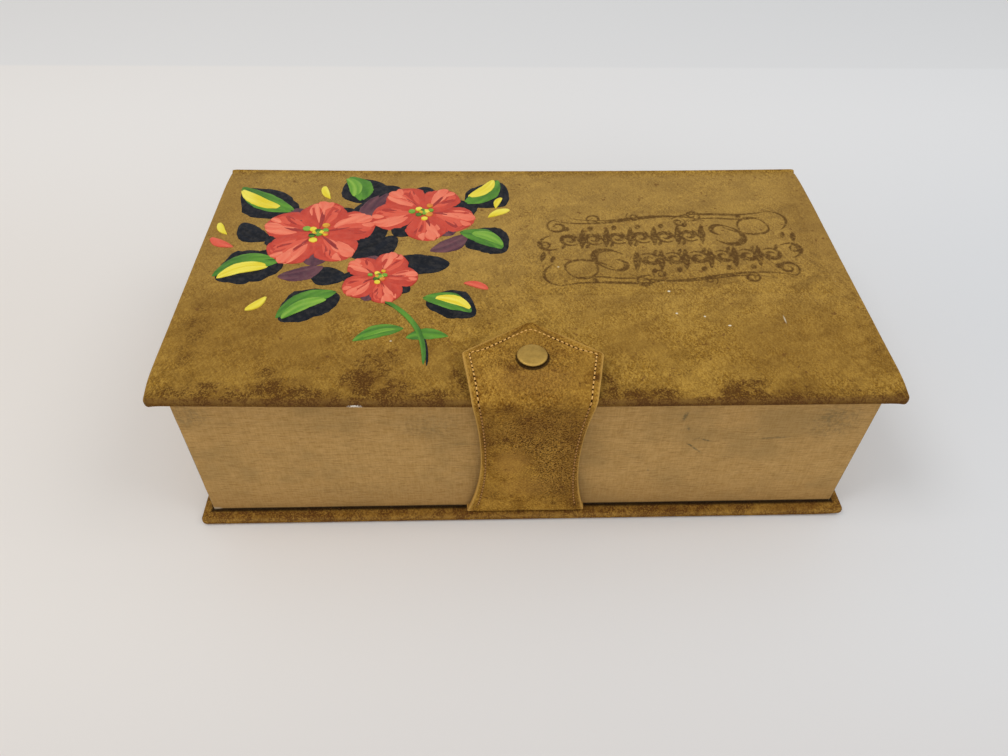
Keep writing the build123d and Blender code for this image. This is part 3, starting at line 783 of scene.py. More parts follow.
def spine_lines(run):
    """Outer and inner line of the spine at a run in mm down from its top: straight, then round the
    bottom corner. There the outer line is a quarter circle, and the inner one a short slant inside it."""
    straight = SPINE_TOP - BOTTOM_BEND
    turn = np.clip((run - straight) / BOTTOM_BEND, 0, None)
    centre_y = back - BOTTOM_BEND
    bent = turn > 0
    outer_y = np.where(bent, centre_y + BOTTOM_BEND * np.cos(turn), back)
    outer_z = np.where(bent, BOTTOM_BEND * (1 - np.sin(turn)), SPINE_TOP - run)
    inner_y = np.where(bent, centre_y - 1.2 - 0.1 * turn, spine_inner - 1 + 1.0 * smoothstep(run, -1, 0))
    inner_z = np.where(bent, BOTTOM_BEND + 0.4 - 0.1 * turn, SPINE_TOP - run)
    return outer_y, outer_z, inner_y, inner_z


def spine_swell(x, z):
    """The unevenness of the spine's outer face, in mm."""
    return 0.12 * ripple(x, z, 60, 31) + 0.05 * ripple(x, z, 17, 32)


spine_run = np.concatenate([stops(0, SPINE_TOP - BOTTOM_BEND, CORNER, 2.0)[:-7],
                            np.linspace(SPINE_TOP - BOTTOM_BEND - 2, SPINE_TOP + 0.6, 14)])
spine_x, spine_s, spine_full = rounded_outline(base_columns, spine_run, CORNER)
outer_y, outer_z, inner_y, inner_z = spine_lines(spine_s)
outer_y = outer_y + spine_swell(spine_x, outer_z) * (spine_s < SPINE_TOP - BOTTOM_BEND)
mid_y, mid_z = (outer_y + inner_y) / 2, (outer_z + inner_z) / 2
half_y, half_z = (outer_y - mid_y) * spine_full, (outer_z - mid_z) * spine_full
spine_outer = np.dstack([spine_x, mid_y + half_y, mid_z + half_z])
spine_inside = np.dstack([spine_x, mid_y - half_y, mid_z - half_z])
spine_skin = two_sided(spine_outer, spine_inside)
spine_suede = make_piece("spine_suede", spine_skin, suede)
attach(spine_suede, "tray_and_base")
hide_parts("spine_cover")

# %% [markdown]
# ## The hinge
# At the rear top corner one thickness of suede bends, and that is the whole hinge. A strip covers the
# last few millimetres of the lid and of the spine, a hair above them, and sinks into each at its far
# edge. Between the two boards it turns round a quarter circle.

# %% Hinge suede
HINGE_BEND = 2.2
HINGE_REACH = 6.0
bend_y_mm, bend_z_mm = back - HINGE_BEND, lid_top - HINGE_BEND


def hinge_line(run):
    """Outer line and outward direction of the strip: along the lid's top, round a quarter circle at the
    corner, and down the spine. run is 0 where the circle starts and counts towards the spine."""
    arc = HINGE_BEND * np.pi / 2
    turn = np.clip(run / HINGE_BEND, 0, np.pi / 2)
    y = bend_y_mm + HINGE_BEND * np.sin(turn) + np.minimum(run, 0)
    z = bend_z_mm + HINGE_BEND * np.cos(turn) - np.maximum(run - arc, 0)
    return y, z, np.sin(turn), np.cos(turn)


hinge_start = -(bend_y_mm - LID_PLATE_REAR) - HINGE_REACH
hinge_end = HINGE_BEND * np.pi / 2 + bend_z_mm - SPINE_TOP + HINGE_REACH
hinge_run = np.linspace(hinge_start, hinge_end, 54)
hinge_x, hinge_s = np.meshgrid(lid_columns, hinge_run)
hinge_y, hinge_z, out_y, out_z = hinge_line(hinge_s)
side_over = np.clip((np.abs(hinge_x) - lid_columns[-1] + CORNER) / CORNER, 0, 1)
narrowed = smoothstep(hinge_s, 0, 7)
spine_wide = base_columns[-1] / lid_columns[-1]
hinge_x = (1 - narrowed) * drawn_in(hinge_x, hinge_y) + narrowed * hinge_x * spine_wide
hinge_lift = lid_warp(hinge_x, hinge_y)
hinge_z = hinge_z + hinge_lift * smoothstep(hinge_s, 8, 0)
side_full = np.sqrt(1 - side_over ** 2)
on_lid = smoothstep(hinge_s, 0.5, -2.2)
on_spine = smoothstep(hinge_s, 5.0, 7.5)
lid_swell = lid_height(hinge_x, hinge_y) - lid_top - hinge_lift
swell = on_lid * lid_swell + on_spine * spine_swell(hinge_x, hinge_z)
swell = swell - 0.28 * bell(hinge_s - 5.2, 1.6) - 0.2 * bell(hinge_s + 1.5, 1.3)
drop = (1 - side_full) * (0.55 + 1.7 * on_lid + 1.45 * on_spine)
near_ends = smoothstep(hinge_s, hinge_start + 2, hinge_start) + smoothstep(hinge_s, hinge_end - 2, hinge_end)
sink = 0.2 * near_ends
lift = 0.04 + swell - drop - sink
thick = 1.0 * side_full
hinge_outer = np.dstack([hinge_x, hinge_y + out_y * lift, hinge_z + out_z * lift])
hinge_inner = np.dstack([hinge_x, hinge_y + out_y * (lift - thick), hinge_z + out_z * (lift - thick)])
hinge_inner[[0, -1]] = hinge_outer[[0, -1]]
hinge_skin = two_sided(hinge_outer, hinge_inner)
hinge_suede = make_piece("hinge_suede", hinge_skin, suede)
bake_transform(hinge_suede)

# %% [markdown]
# ## The tray's cloth
# One band of cloth goes round the tray, over the rim and down inside as a hem. Its profile is a thin
# closed loop. The loop is carried round a rectangle with small corner radii: at each height the
# rectangle grows or shrinks by the profile's own distance from the wall.

# %% Tray cloth
CLOTH_THICK = 0.4
WALL = 2.5
HEM = 12.0
TRAY_CORNER = 1.3
CLOTH_FOOT = base_top + 0.15


def cloth_profile():
    """The loop of the cloth as (distance outwards from its outer face, height), in mm: up outside, over
    the rim on two small quarter circles, down the hem, and back behind it all."""
    inner = -(WALL + 2 * CLOTH_THICK)
    turn = np.linspace(0, np.pi / 2, 5)
    over = 0.8
    foot = [(-0.38, CLOTH_FOOT), (-0.22, CLOTH_FOOT + 0.12), (-0.06, CLOTH_FOOT + 0.5)]
    outside = [(0.0, z) for z in np.linspace(CLOTH_FOOT + 1.2, rim - over - 0.1, 30)]
    outer_turn = [(-over + over * np.cos(t), rim - over + over * np.sin(t)) for t in turn]
    inner_turn = [(inner + over - over * np.sin(t), rim - over + over * np.cos(t)) for t in turn]
    hem = [(inner, z) for z in np.linspace(rim - over - 1, rim - HEM, 6)]
    back_up = [(inner + CLOTH_THICK, z) for z in np.linspace(rim - HEM, rim - CLOTH_THICK - 0.5, 4)]
    back_down = [(-CLOTH_THICK, z) for z in np.linspace(rim - CLOTH_THICK - 0.5, CLOTH_FOOT + 0.1, 6)]
    return np.array(foot + outside + outer_turn + inner_turn + hem + back_up + back_down)


def round_rectangle(distance, step=2.4):
    """Points round the tray, one row for each distance outwards: four straight sides joined by quarter
    circles whose radius grows and shrinks with the distance."""
    middle = np.array([(tray_left + tray_right) / 2, (tray_front + tray_back) / 2])
    half = np.array([(tray_right - tray_left) / 2, (tray_back - tray_front) / 2])
    radius = np.maximum(TRAY_CORNER + distance, 0.15)[:, None]
    reach = half[None, :] + distance[:, None] - radius
    turn = np.linspace(0, np.pi / 2, 6)[None, :]
    corners = ((1, -1), (1, 1), (-1, 1), (-1, -1))
    x, y = [], []
    for number, (side_x, side_y) in enumerate(corners):
        heading = turn + (number - 1) * np.pi / 2
        arc_x = middle[0] + side_x * reach[:, :1] + radius * np.cos(heading)
        arc_y = middle[1] + side_y * reach[:, 1:] + radius * np.sin(heading)
        next_x, next_y = corners[(number + 1) % 4]
        goal_x = middle[0] + next_x * reach[:, :1] + radius * np.cos(heading[:, -1:])
        goal_y = middle[1] + next_y * reach[:, 1:] + radius * np.sin(heading[:, -1:])
        count = round(2 * half[(number + 1) % 2] / step)
        share = np.linspace(0, 1, count)[None, 1:-1]
        x += [arc_x, arc_x[:, -1:] + (goal_x - arc_x[:, -1:]) * share]
        y += [arc_y, arc_y[:, -1:] + (goal_y - arc_y[:, -1:]) * share]
    return np.concatenate(x, axis=1), np.concatenate(y, axis=1)


profile = cloth_profile()
cloth_x, cloth_y = round_rectangle(profile[:, 0])
cloth_z = np.repeat(profile[:, 1:], cloth_x.shape[1], axis=1)
outside = smoothstep(profile[:, 0], -0.5, -0.1)[:, None]
bulge = 0.12 * ripple(cloth_x + cloth_y, cloth_z, 46, 41) + 0.05 * ripple(cloth_x + cloth_y, cloth_z, 13, 42)
up_share = np.clip((cloth_z - CLOTH_FOOT) / (rim - CLOTH_FOOT), 0, 1)
bulge = outside * (bulge - 0.1) * np.sin(np.pi * up_share) ** 0.5
on_front = np.clip((tray_front + 1.0 - cloth_y) / 1.0, 0, 1)
on_side = np.clip((np.abs(cloth_x) - tray_right + 1.0) / 1.0, 0, 1)
cloth_y = cloth_y - bulge * on_front
cloth_x = cloth_x + bulge * on_side * np.sign(cloth_x)
cloth_skin = ring_skin(np.dstack([cloth_x, cloth_y, cloth_z]))
tray_cover = make_piece("tray_book_cloth", cloth_skin, cloth)
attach(tray_cover, "tray_and_base")
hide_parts("tray_cloth")

# %% [markdown]
# ## The lid's lining
# Inside the lid a sheet of paper is pasted over the turned-in suede, to a few millimetres from the edge,
# and the step of the turn-in shows through it.

# %% Lid lining
MARGIN = 6.0
lining_columns = stops(left + MARGIN, right - MARGIN, 1.0, 2.5)
lining_rows = stops(front + MARGIN, LID_PLATE_REAR - 1.5, 1.0, 2.5)
paper_x, paper_y, paper_full = rounded_outline(lining_columns, lining_rows, 1.0)
paper_z = turn_in_step(paper_x, paper_y) + 0.02 * ripple(paper_x, paper_y, 20, 51)
paper_low = paper_z - 0.16 * paper_full
paper_skin = sheet(paper_x, paper_y, paper_z + 0.1, paper_low)
lid_paper = make_piece("lid_lining_paper", paper_skin, paper)
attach(lid_paper, "lid")
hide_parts("lid_lining")

# %% [markdown]
# ## The strap
# Two layers of suede are stitched back to back. Seen from the side the strap is one line: a glued tail
# under the tray, a fold at the base's lip, a front that leans out a little, a crease over the lid's edge,
# and a tab that climbs to the snap. Seen from the front it is waisted, and its tab has two shoulders and
# a point. So the strap is that line with a width at each place along it, and a cross-section that is
# carried along: flat, with a groove at the stitches and a nick between the two layers at each edge.


# %% The strap's line and its two edges
def bent_line(corners, radii, step=0.7):
    """A line through corners, with each inner corner rounded by a curve that starts and ends its own
    radius away from it: a parabola between the two straight runs. Evenly spaced, in mm."""
    corners = [np.array(corner, float) for corner in corners]
    runs = [[corners[0]]]
    share = np.linspace(0, 1, 12)[:, None]
    for before, corner, after, radius in zip(corners, corners[1:], corners[2:], radii):
        start = corner + (before - corner) / np.linalg.norm(before - corner) * radius
        end = corner + (after - corner) / np.linalg.norm(after - corner) * radius
        runs.append((1 - share) ** 2 * start + 2 * share * (1 - share) * corner + share ** 2 * end)
    runs.append([corners[-1]])
    line = np.concatenate([np.array(run) for run in runs])
    run = np.concatenate([[0], np.cumsum(np.linalg.norm(np.diff(line, axis=0), axis=1))])
    even = np.linspace(0, run[-1], round(run[-1] / step) + 1)
    return even, np.stack([np.interp(even, run, line[:, 0]), np.interp(even, run, line[:, 1])], axis=1)


def unit(vectors):
    """Vectors made one long."""
    return vectors / np.linalg.norm(vectors, axis=1)[:, None]


STRAP_LAYER = 1.0
FOLD = (front + 2.65, base_top + 0.75)
LEAN = (front - 1.75, lid_top + 1.25)
_, tab_high = limits("strap_tab_outer")
SEAT = tab_high[2] - STRAP_LAYER
TIP_Y = tab_high[1] + 1.2
# The tab's shoulders, counted from the crease, and the sideways place of its point
SHOULDER_LEFT, SHOULDER_RIGHT = 24.4, 23.0
POINT_X = 0.2
strap_corners = [(tray_front + 18, base_top + 0.7), FOLD, LEAN, (snap_y - 9.5, SEAT), (snap_y + 9, SEAT),
                 (TIP_Y, SEAT - 1.1)]
strap_run, strap_line = bent_line(strap_corners, [1.5, 3.0, 5.0, 5.0])
fold_run = float(strap_run[np.argmin(np.hypot(*(strap_line - FOLD).T))])
crease_run = float(strap_run[np.argmin(np.hypot(*(strap_line - LEAN).T))])
tip_run = float(strap_run[-1])
print("strap:", round(tip_run, 1), "mm long, fold at", round(fold_run, 1), "crease at", round(crease_run, 1))


def line_outward():
    """The outward direction at each point of the strap's line, in y and z: square to its slope."""
    slope = np.gradient(strap_line, strap_run, axis=0)
    return unit(np.stack([-slope[:, 1], slope[:, 0]], axis=1))


def lean(edge, run):
    """How much longer a step along a slanting edge is than one along the strap."""
    return np.hypot(1, np.gradient(edge, run))


def waisted(height, narrow, waist, foot, top):
    """Half width in mm at a height above the fold: a parabola that widens by foot from the waist down to
    the fold, and another that widens by top from the waist up to the crease. Below the fold it is even."""
    height = np.maximum(height, 0)
    down = foot * (np.minimum(height - waist, 0) / waist) ** 2
    up = top * (np.maximum(height - waist, 0) / (crease_run - fold_run - waist)) ** 2
    return narrow + down + up


def strap_edges(run):
    """The strap's left and right edge at a run along it, in mm from the case's middle. The front is
    waisted: a parabola from the waist to the foot and another to the crease. The tab widens in
    straight lines to its shoulders and closes in straight lines to its point, with soft corners."""
    height = run - fold_run
    left_front = -waisted(height, 21.0, 41, 6.5, 3.4)
    right_front = waisted(height, 20.9, 42, 5.6, 3.8)
    past = run - crease_run
    point = tip_run - crease_run
    left_tab = -24.4 - 4.0 * past / SHOULDER_LEFT
    right_tab = 24.8 + 4.6 * past / SHOULDER_RIGHT
    left_point = POINT_X - (POINT_X + 28.4) * (point - past) / (point - SHOULDER_LEFT)
    right_point = POINT_X + (29.4 - POINT_X) * (point - past) / (point - SHOULDER_RIGHT)
    left_edge = np.where(past < 0, left_front, soft_larger(left_tab, left_point))
    right_edge = np.where(past < 0, right_front, -soft_larger(-right_tab, -right_point))
    return left_edge, right_edge


def stitch_inset(run):
    """How far inside the edge the stitches run, in mm: closest at the waist, wider at the foot and on
    the tab, and widest along the two top edges."""
    from_waist = (run - fold_run - 46) / 38
    on_front = 2.0 + 1.2 * np.clip(from_waist, -1, 1) ** 2
    past = run - crease_run
    wider = smoothstep(past, SHOULDER_LEFT - 2, SHOULDER_LEFT + 2)
    return on_front - 0.3 * smoothstep(past, -3, 3) + 1.1 * wider


# %% [markdown]
# The cross-section is a list of steps inwards from an edge, each with the height of the outer face there.
# The same steps serve both edges and both faces, so lower and upper strap fit each other exactly.

# %% The strap's surface
STITCH_INSET = 3.0  # the groove's place in the steps; stitch_inset stretches them
edge_steps = np.array([
    (0.30, 0.0), (0.10, 0.16), (0.0, 0.42), (0.06, 0.70), (0.24, 0.90), (0.6, 1.0), (1.2, 1.05), (1.8, 1.04),
    (2.3, 0.98), (2.65, 0.88), (3.0, 0.80), (3.35, 0.88), (3.7, 0.96), (4.4, 1.0), (5.6, 1.0), (7.0, 1.0)])
MIDDLE_COLUMNS = 22


def strap_surface(run_from, run_to):
    """The strap between two runs: outer and inner grid, and marks for worn rims and for the painted
    shade in the stitch groove.
    """
    chosen = (strap_run >= run_from - 1e-6) & (strap_run <= run_to + 1e-6)
    run, line = strap_run[chosen], strap_line[chosen]
    outward = line_outward()[chosen]
    outward[run < fold_run - 1.2] = (0, -1)
    left_edge, right_edge = strap_edges(run)
    # where the strap is narrow, at its point, the last step stays just short of the middle
    widest = 0.97 * (right_edge - left_edge) / 2 / edge_steps[-1, 0]
    spread = stitch_inset(run) / STITCH_INSET
    inset_left = edge_steps[None, :, 0] * np.minimum(lean(left_edge, run) * spread, widest)[:, None]
    inset_right = edge_steps[None, ::-1, 0] * np.minimum(lean(right_edge, run) * spread, widest)[:, None]
    x_left = left_edge[:, None] + inset_left
    x_right = right_edge[:, None] - inset_right
    share = np.linspace(0, 1, MIDDLE_COLUMNS + 2)[None, 1:-1]
    x_middle = x_left[:, -1:] + (x_right[:, :1] - x_left[:, -1:]) * share
    x = np.concatenate([x_left, x_middle, x_right], axis=1)
    height = np.concatenate([edge_steps[:, 1], np.ones(MIDDLE_COLUMNS), edge_steps[::-1, 1]])
    height = np.broadcast_to(height, x.shape)
    inset = np.concatenate([edge_steps[:, 0], np.full(MIDDLE_COLUMNS, 9.0), edge_steps[::-1, 0]])
    inset = np.broadcast_to(inset, x.shape)
    runs = np.broadcast_to(run[:, None], x.shape)
    y = np.broadcast_to(line[:, :1], x.shape)
    z = np.broadcast_to(line[:, 1:], x.shape)
    soft = smoothstep(inset, STITCH_INSET, 2 * STITCH_INSET)
    relief = soft * (0.16 * ripple(x, runs, 22, 61) + 0.05 * ripple(x, runs, 7, 62))
    cap_ring = np.hypot(x - snap_x, y - snap_y)
    on_tab = runs > crease_run + 4
    relief = relief - np.where(on_tab, 0.35 * bell(cap_ring - 6.3, 1.6), 0)
    relief = relief * smoothstep(runs, fold_run - 2, fold_run + 6)
    out = np.where(height > 0, height + relief, height) * STRAP_LAYER
    ends = np.minimum(smoothstep(tip_run - runs, -0.01, 0.9) * 0.75 + 0.25, 1)
    out = out * ends
    inner = -height * STRAP_LAYER * ends
    outward_y, outward_z = outward[:, :1], outward[:, 1:]
    outer_face = np.dstack([x, y + outward_y * out, z + outward_z * out])
    inner_face = np.dstack([x, y + outward_y * inner, z + outward_z * inner])
    wear = bell(inset - 0.25, 0.42)
    # The groove's mark, for painted shade along the stitches
    press = bell(inset - STITCH_INSET, 0.45) * (runs > fold_run + 3)
    return outer_face, inner_face, wear, press


def closed_strap(outer_face, inner_face):
    """One closed skin of the strap: the two faces share their side edges, and a row of flat faces with a
    triangle at both of its tips closes each end."""
    rows, columns = outer_face.shape[:2]
    outer_index = np.arange(rows * columns).reshape(rows, columns)
    inner_index = outer_index.copy()
    inner_index[:, 1:-1] = rows * columns + np.arange(rows * (columns - 2)).reshape(rows, columns - 2)
    points = np.concatenate([outer_face.reshape(-1, 3), inner_face[:, 1:-1].reshape(-1, 3)])
    start = quads(np.stack([inner_index[0], outer_index[0]]))[1:-1]
    end = quads(np.stack([outer_index[-1], inner_index[-1]]))[1:-1]
    faces = np.concatenate([quads(outer_index), quads(inner_index)[:, ::-1], start, end]).tolist()
    for row, side, inward, way in ((0, 0, 1, -1), (0, -1, -2, 1), (-1, 0, 1, 1), (-1, -1, -2, -1)):
        tip = (outer_index[row, side], outer_index[row, inward], inner_index[row, inward])
        faces.append([int(number) for number in tip[::way]])
    return points, faces


def strap_piece(name, run_from, run_to):
    """One part of the strap as an object."""
    outer_face, inner_face, wear, press = strap_surface(run_from, run_to)
    skin = closed_strap(outer_face, inner_face)
    worn = np.concatenate([wear.ravel(), wear[:, 1:-1].ravel()])
    return make_piece(name, skin, strap_finish, wear=worn, press=outer_only(press, skin))


split_run = float(strap_run[np.argmin(np.abs(strap_run - fold_run - 40))])
strap_lower = strap_piece("strap_lower", 0, split_run)
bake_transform(strap_lower)
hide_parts("strap_tail", "strap_front_outer", "strap_front_lining")
strap_upper = strap_piece("strap_upper", split_run, tip_run)
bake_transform(strap_upper)
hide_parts("strap_tab_outer", "strap_tab_lining")

# %% [markdown]
# ## The stitching
# A row of machine stitches runs a few millimetres inside the strap's edge. Each stitch is a short thread
# that dives into a needle hole at both ends. One small tube is worked out once, with its own x along the
# stitch, and whole arrays of places and headings carry it to every stitch.


# %% Stitches
def stitch_path():
    """Points along the row of stitches: up the left side, round the point, and down the right, with the
    outward direction of the strap at each of them."""
    left_edge, right_edge = strap_edges(strap_run)
    x_left = left_edge + stitch_inset(strap_run) * lean(left_edge, strap_run)
    x_right = right_edge - stitch_inset(strap_run) * lean(right_edge, strap_run)
    keep = (strap_run > fold_run + 5) & (x_left < POINT_X - 0.2) & (x_right > POINT_X + 0.2)
    places, normals = [], []
    for x, order in ((x_left, 1), (x_right, -1)):
        places.append(np.column_stack([x, strap_line])[keep][::order])
        normals.append(np.column_stack([0 * x, line_outward()])[keep][::order])
    return np.concatenate(places), np.concatenate(normals)


STITCH_PITCH = 2.15
path, path_out = stitch_path()
path_run = np.concatenate([[0], np.cumsum(np.linalg.norm(np.diff(path, axis=0), axis=1))])
stitch_count = int(path_run[-1] // STITCH_PITCH)
stitch_at = (np.arange(stitch_count) + 0.5) * path_run[-1] / stitch_count


def on_path(values, at):
    """Values along the stitch path, read off at given runs."""
    return np.stack([np.interp(at, path_run, values[:, axis]) for axis in range(3)], axis=1)


def stitch_frames(at):
    """Middle, heading, sideways and outward direction of the strap at runs along the row."""
    heading = unit(on_path(path, at + 0.4) - on_path(path, at - 0.4))
    outward = unit(on_path(path_out, at))
    sideways = unit(np.cross(outward, heading))
    return on_path(path, at), heading, sideways, outward


def placed(shape, faces, at, sink, scatter):
    """Copies of a small shape on the row: its own x, y and z become heading, sideways and outward."""
    middle, heading, sideways, outward = stitch_frames(at)
    turn = np.random.default_rng(71).normal(0, scatter, len(at))[:, None]
    heading, sideways = heading + turn * sideways, sideways - turn * heading
    along, across, up = (shape[None, :, axis:axis + 1] for axis in range(3))
    points = (middle[:, None] + along * heading[:, None] + across * sideways[:, None]
              + (up + sink) * outward[:, None])
    numbers = faces[None] + np.arange(len(at))[:, None, None] * len(shape)
    return points.reshape(-1, 3), numbers.reshape(-1, faces.shape[1])


def stitch_shape():
    """One stitch: a tube of seven rings of six points, which arches in its middle and goes down into the
    suede at both ends."""
    along = np.linspace(-1, 1, 7)
    around = np.linspace(0, 2 * np.pi, 6, endpoint=False)
    radius = 0.34 * np.sqrt(np.clip(1.08 - along ** 4, 0.05, 1))
    x = np.repeat(along[:, None] * 0.86, 6, axis=1)
    y = radius[:, None] * np.cos(around)[None]
    z = radius[:, None] * np.sin(around)[None] * 0.9 + 0.16 - 0.5 * along[:, None] ** 4
    points = np.dstack([x, y, z]).reshape(-1, 3)
    cap = np.array([[0, 1, 2, 3], [3, 4, 5, 0], [36, 41, 40, 39], [39, 38, 37, 36]])
    return points, np.concatenate([quads(wound(7, 6))[:, ::-1], cap[:, ::-1]])


def hole_shape():
    """One needle hole: a shallow lens of three rings of eight points, closed above and below, that
    carries the hole's painted shade.
    """
    around = np.linspace(0, 2 * np.pi, 8, endpoint=False)
    rings = [np.column_stack([r * 1.15 * np.cos(around), r * np.sin(around), np.full(8, z)])
             for r, z in ((0.50, -0.12), (0.45, 0.06), (0.18, 0.09))]
    cap = np.array([[16, 17, 18, 19], [19, 20, 21, 22], [22, 23, 16, 19],
                    [0, 3, 2, 1], [0, 7, 4, 3], [7, 6, 5, 4]])
    return np.concatenate(rings), np.concatenate([quads(wound(3, 8)), cap])


def stitching(name, chosen):
    """Threads and needle holes at the chosen stitches, as one piece."""
    threads = placed(*stitch_shape(), chosen, 0.80, 0.06)
    holes = placed(*hole_shape(), chosen + path_run[-1] / stitch_count / 2, 0.80, 0.0)
    skin = joined([threads, holes])
    which = np.concatenate([np.zeros(len(threads[1]), int), np.ones(len(holes[1]), int)])
    piece = make_piece(name, skin, [thread, hole_shade], face_finish=which, sharp=80)
    return piece


split_z = float(np.interp(split_run, strap_run, strap_line[:, 1]))
stitch_z = on_path(path, stitch_at)[:, 2]
lower_thread = stitching("strap_lower_thread", stitch_at[stitch_z < split_z])
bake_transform(lower_thread)
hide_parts("strap_front_stitches")
upper_thread = stitching("strap_upper_thread", stitch_at[stitch_z >= split_z])
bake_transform(upper_thread)
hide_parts("strap_tab_stitches")

# %% [markdown]
# ## The snap's cap
# The cap is a turned shape: a low dome, a rolled rim, and an undercut where it grips the suede. Its
# profile is a list of radii and heights, spun round the snap's axis as one grid. One flat face closes
# each end of it: a tiny one at the middle of the dome, and the bottom of the rivet.


# %% Snap cap
def turned(profile, middle, around=64):
    """The closed skin of a profile of (radius, height) pairs turned about an upright axis."""
    profile = np.array(profile, float)
    angle = np.linspace(0, 2 * np.pi, around, endpoint=False)
    x = middle[0] + profile[:, :1] * np.cos(angle)[None]
    y = middle[1] + profile[:, :1] * np.sin(angle)[None]
    z = np.repeat(middle[2] + profile[:, 1:], around, axis=1)
    index = wound(len(profile), around)
    faces = quads(index)[:, ::-1].tolist() + [index[0, :-1].tolist(), index[-1, -2::-1].tolist()]
    return np.dstack([x, y, z]).reshape(-1, 3), faces


def cap_profile():
    """The cap's outline from the middle of its dome to the bottom of its rivet, in mm from its seat."""
    top = cap_high[2] - SEAT - STRAP_LAYER
    dome = [(r, top - 0.4 * (r / 5.6) ** 2.6) for r in np.linspace(0.05, 5.5, 12)]
    roll = [(5.85, top - 0.52), (6.12, top - 0.7), (6.25, top - 0.92), (6.22, top - 1.1), (6.05, 0.46)]
    return dome + roll + [(5.6, 0.40), (4.4, 0.36), (4.3, -0.3), (1.7, -0.32), (1.7, -4.2), (1.2, -4.4)]


RIM_ROWS = 16  # the points of the outline that can be seen, from the dome to under the rim
cap_outline = cap_profile()
cap_skin = turned(cap_outline, (snap_x, snap_y, SEAT + STRAP_LAYER))
tarnish = smoothstep(np.array([r for r, z in cap_outline]), 5.9, 6.25) * 0.35
tarnish[RIM_ROWS:] = 0.9
tarnish = np.repeat(tarnish, len(cap_skin[0]) // len(cap_outline))
snap_cap = make_piece("snap_cap_brass", cap_skin, brass, sharp=60, tarnish=tarnish)
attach(snap_cap, "strap_tab")
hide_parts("snap_cap")

# %% [markdown]
# ## The painted spray
# The lid carries a spray of flowers painted with thick colour. Each brush mark is a raised leaf shape: a
# curved middle line, a width that swells and closes, and ridges left by the bristles, which also carry
# the streaks of colour. Marks overlap, so each has a level. Three round blossoms, oval leaves and
# berries are laid out from short lists, and all of them go into one mesh with a colour at each point.

# %% A brush mark
MARK_ALONG = 19
MARK_ACROSS = np.array([-1, -0.97, -0.88, -0.7, -0.45, -0.2, 0.0, 0.2, 0.45, 0.7, 0.88, 0.97, 1])
LEVEL_RISE = 0.09
CORAL, LIGHT_CORAL, DEEP_CORAL = screen(214, 82, 62), screen(228, 104, 80), screen(184, 60, 48)
PALE_CORAL, SHADED_CORAL = screen(244, 138, 108), screen(142, 50, 50)
NAVY, SOFT_NAVY = screen(10, 13, 20), screen(20, 25, 35)
GREEN, LIGHT_GREEN, DEEP_GREEN = screen(98, 152, 50), screen(140, 182, 70), screen(62, 112, 42)
YELLOW, LIGHT_YELLOW = screen(226, 204, 44), screen(242, 228, 92)
MAUVE, DEEP_MAUVE = screen(116, 74, 80), screen(82, 50, 62)


def brush_mark(root, tip, width, tones, level=0, bend=0.0, fat=1.0, blunt=0.6, body=0.3, seed=0,
               streaky=0.45):
    """One mark as a closed skin with a colour at each point. Its middle line runs from root to tip and
    bows sideways by bend; its half width is a sine of the way along, raised to blunt and shifted
    towards the tip by fat; ridges run along it."""
    root, tip = np.array(root, float), np.array(tip, float)
    way = np.linspace(0, 1, MARK_ALONG)[:, None]
    across = MARK_ACROSS[None]
    heading = (tip - root) / np.linalg.norm(tip - root)
    aside = np.array([-heading[1], heading[0]])
    length = np.linalg.norm(tip - root)
    half = width / 2 * np.clip(np.sin(np.pi * way ** fat), 0.0, 1) ** blunt
    half = np.maximum(half, 0.12)
    side = np.sign(across) * 9
    ragged = (0.06 * ripple(way * length, side, 11.0, seed + 100)
              + 0.03 * ripple(way * length, side, 2.6, seed))
    ragged = 1 + ragged * np.abs(across) ** 3
    sideways = bend * 4 * way * (1 - way) + across * half * ragged
    x = root[0] + heading[0] * way * length + aside[0] * sideways
    y = front + root[1] + heading[1] * way * length + aside[1] * sideways
    ridges = ripple(across * half * 0.9, way * length * 0.08, 2.2, seed + 200)
    crown = np.sqrt(np.clip(1 - np.abs(across) ** 4, 0, 1)) * np.clip(np.sin(np.pi * way), 0.12, 1) ** 0.3
    fringe = 0.12 * bell(np.abs(across) - 0.82, 0.12)
    ground = lid_height(x, y)
    rise = level * LEVEL_RISE + (body + 0.08 * ridges + fringe) * crown
    top = ground + np.maximum(rise, 0.03)
    top[[0, -1]] = (ground - 0.05)[[0, -1]]
    top[:, [0, -1]] = (ground - 0.05)[:, [0, -1]]
    skin = sheet(x, y, top, ground - 0.3)
    first, second = (np.array(tone) for tone in tones)
    share = np.clip(0.5 + streaky * ridges + 0.3 * (way - 0.5), 0, 1)[..., None]
    upper = (first + (second - first) * share).reshape(-1, 4)
    lower = np.broadcast_to(first, (len(skin[0]) - len(upper), 4))
    return skin, np.concatenate([upper, lower])


def around(centre, angle, distance):
    """A point at an angle in degrees and a distance from a centre."""
    turn = math.radians(angle)
    return centre[0] + distance * math.cos(turn), centre[1] + distance * math.sin(turn)


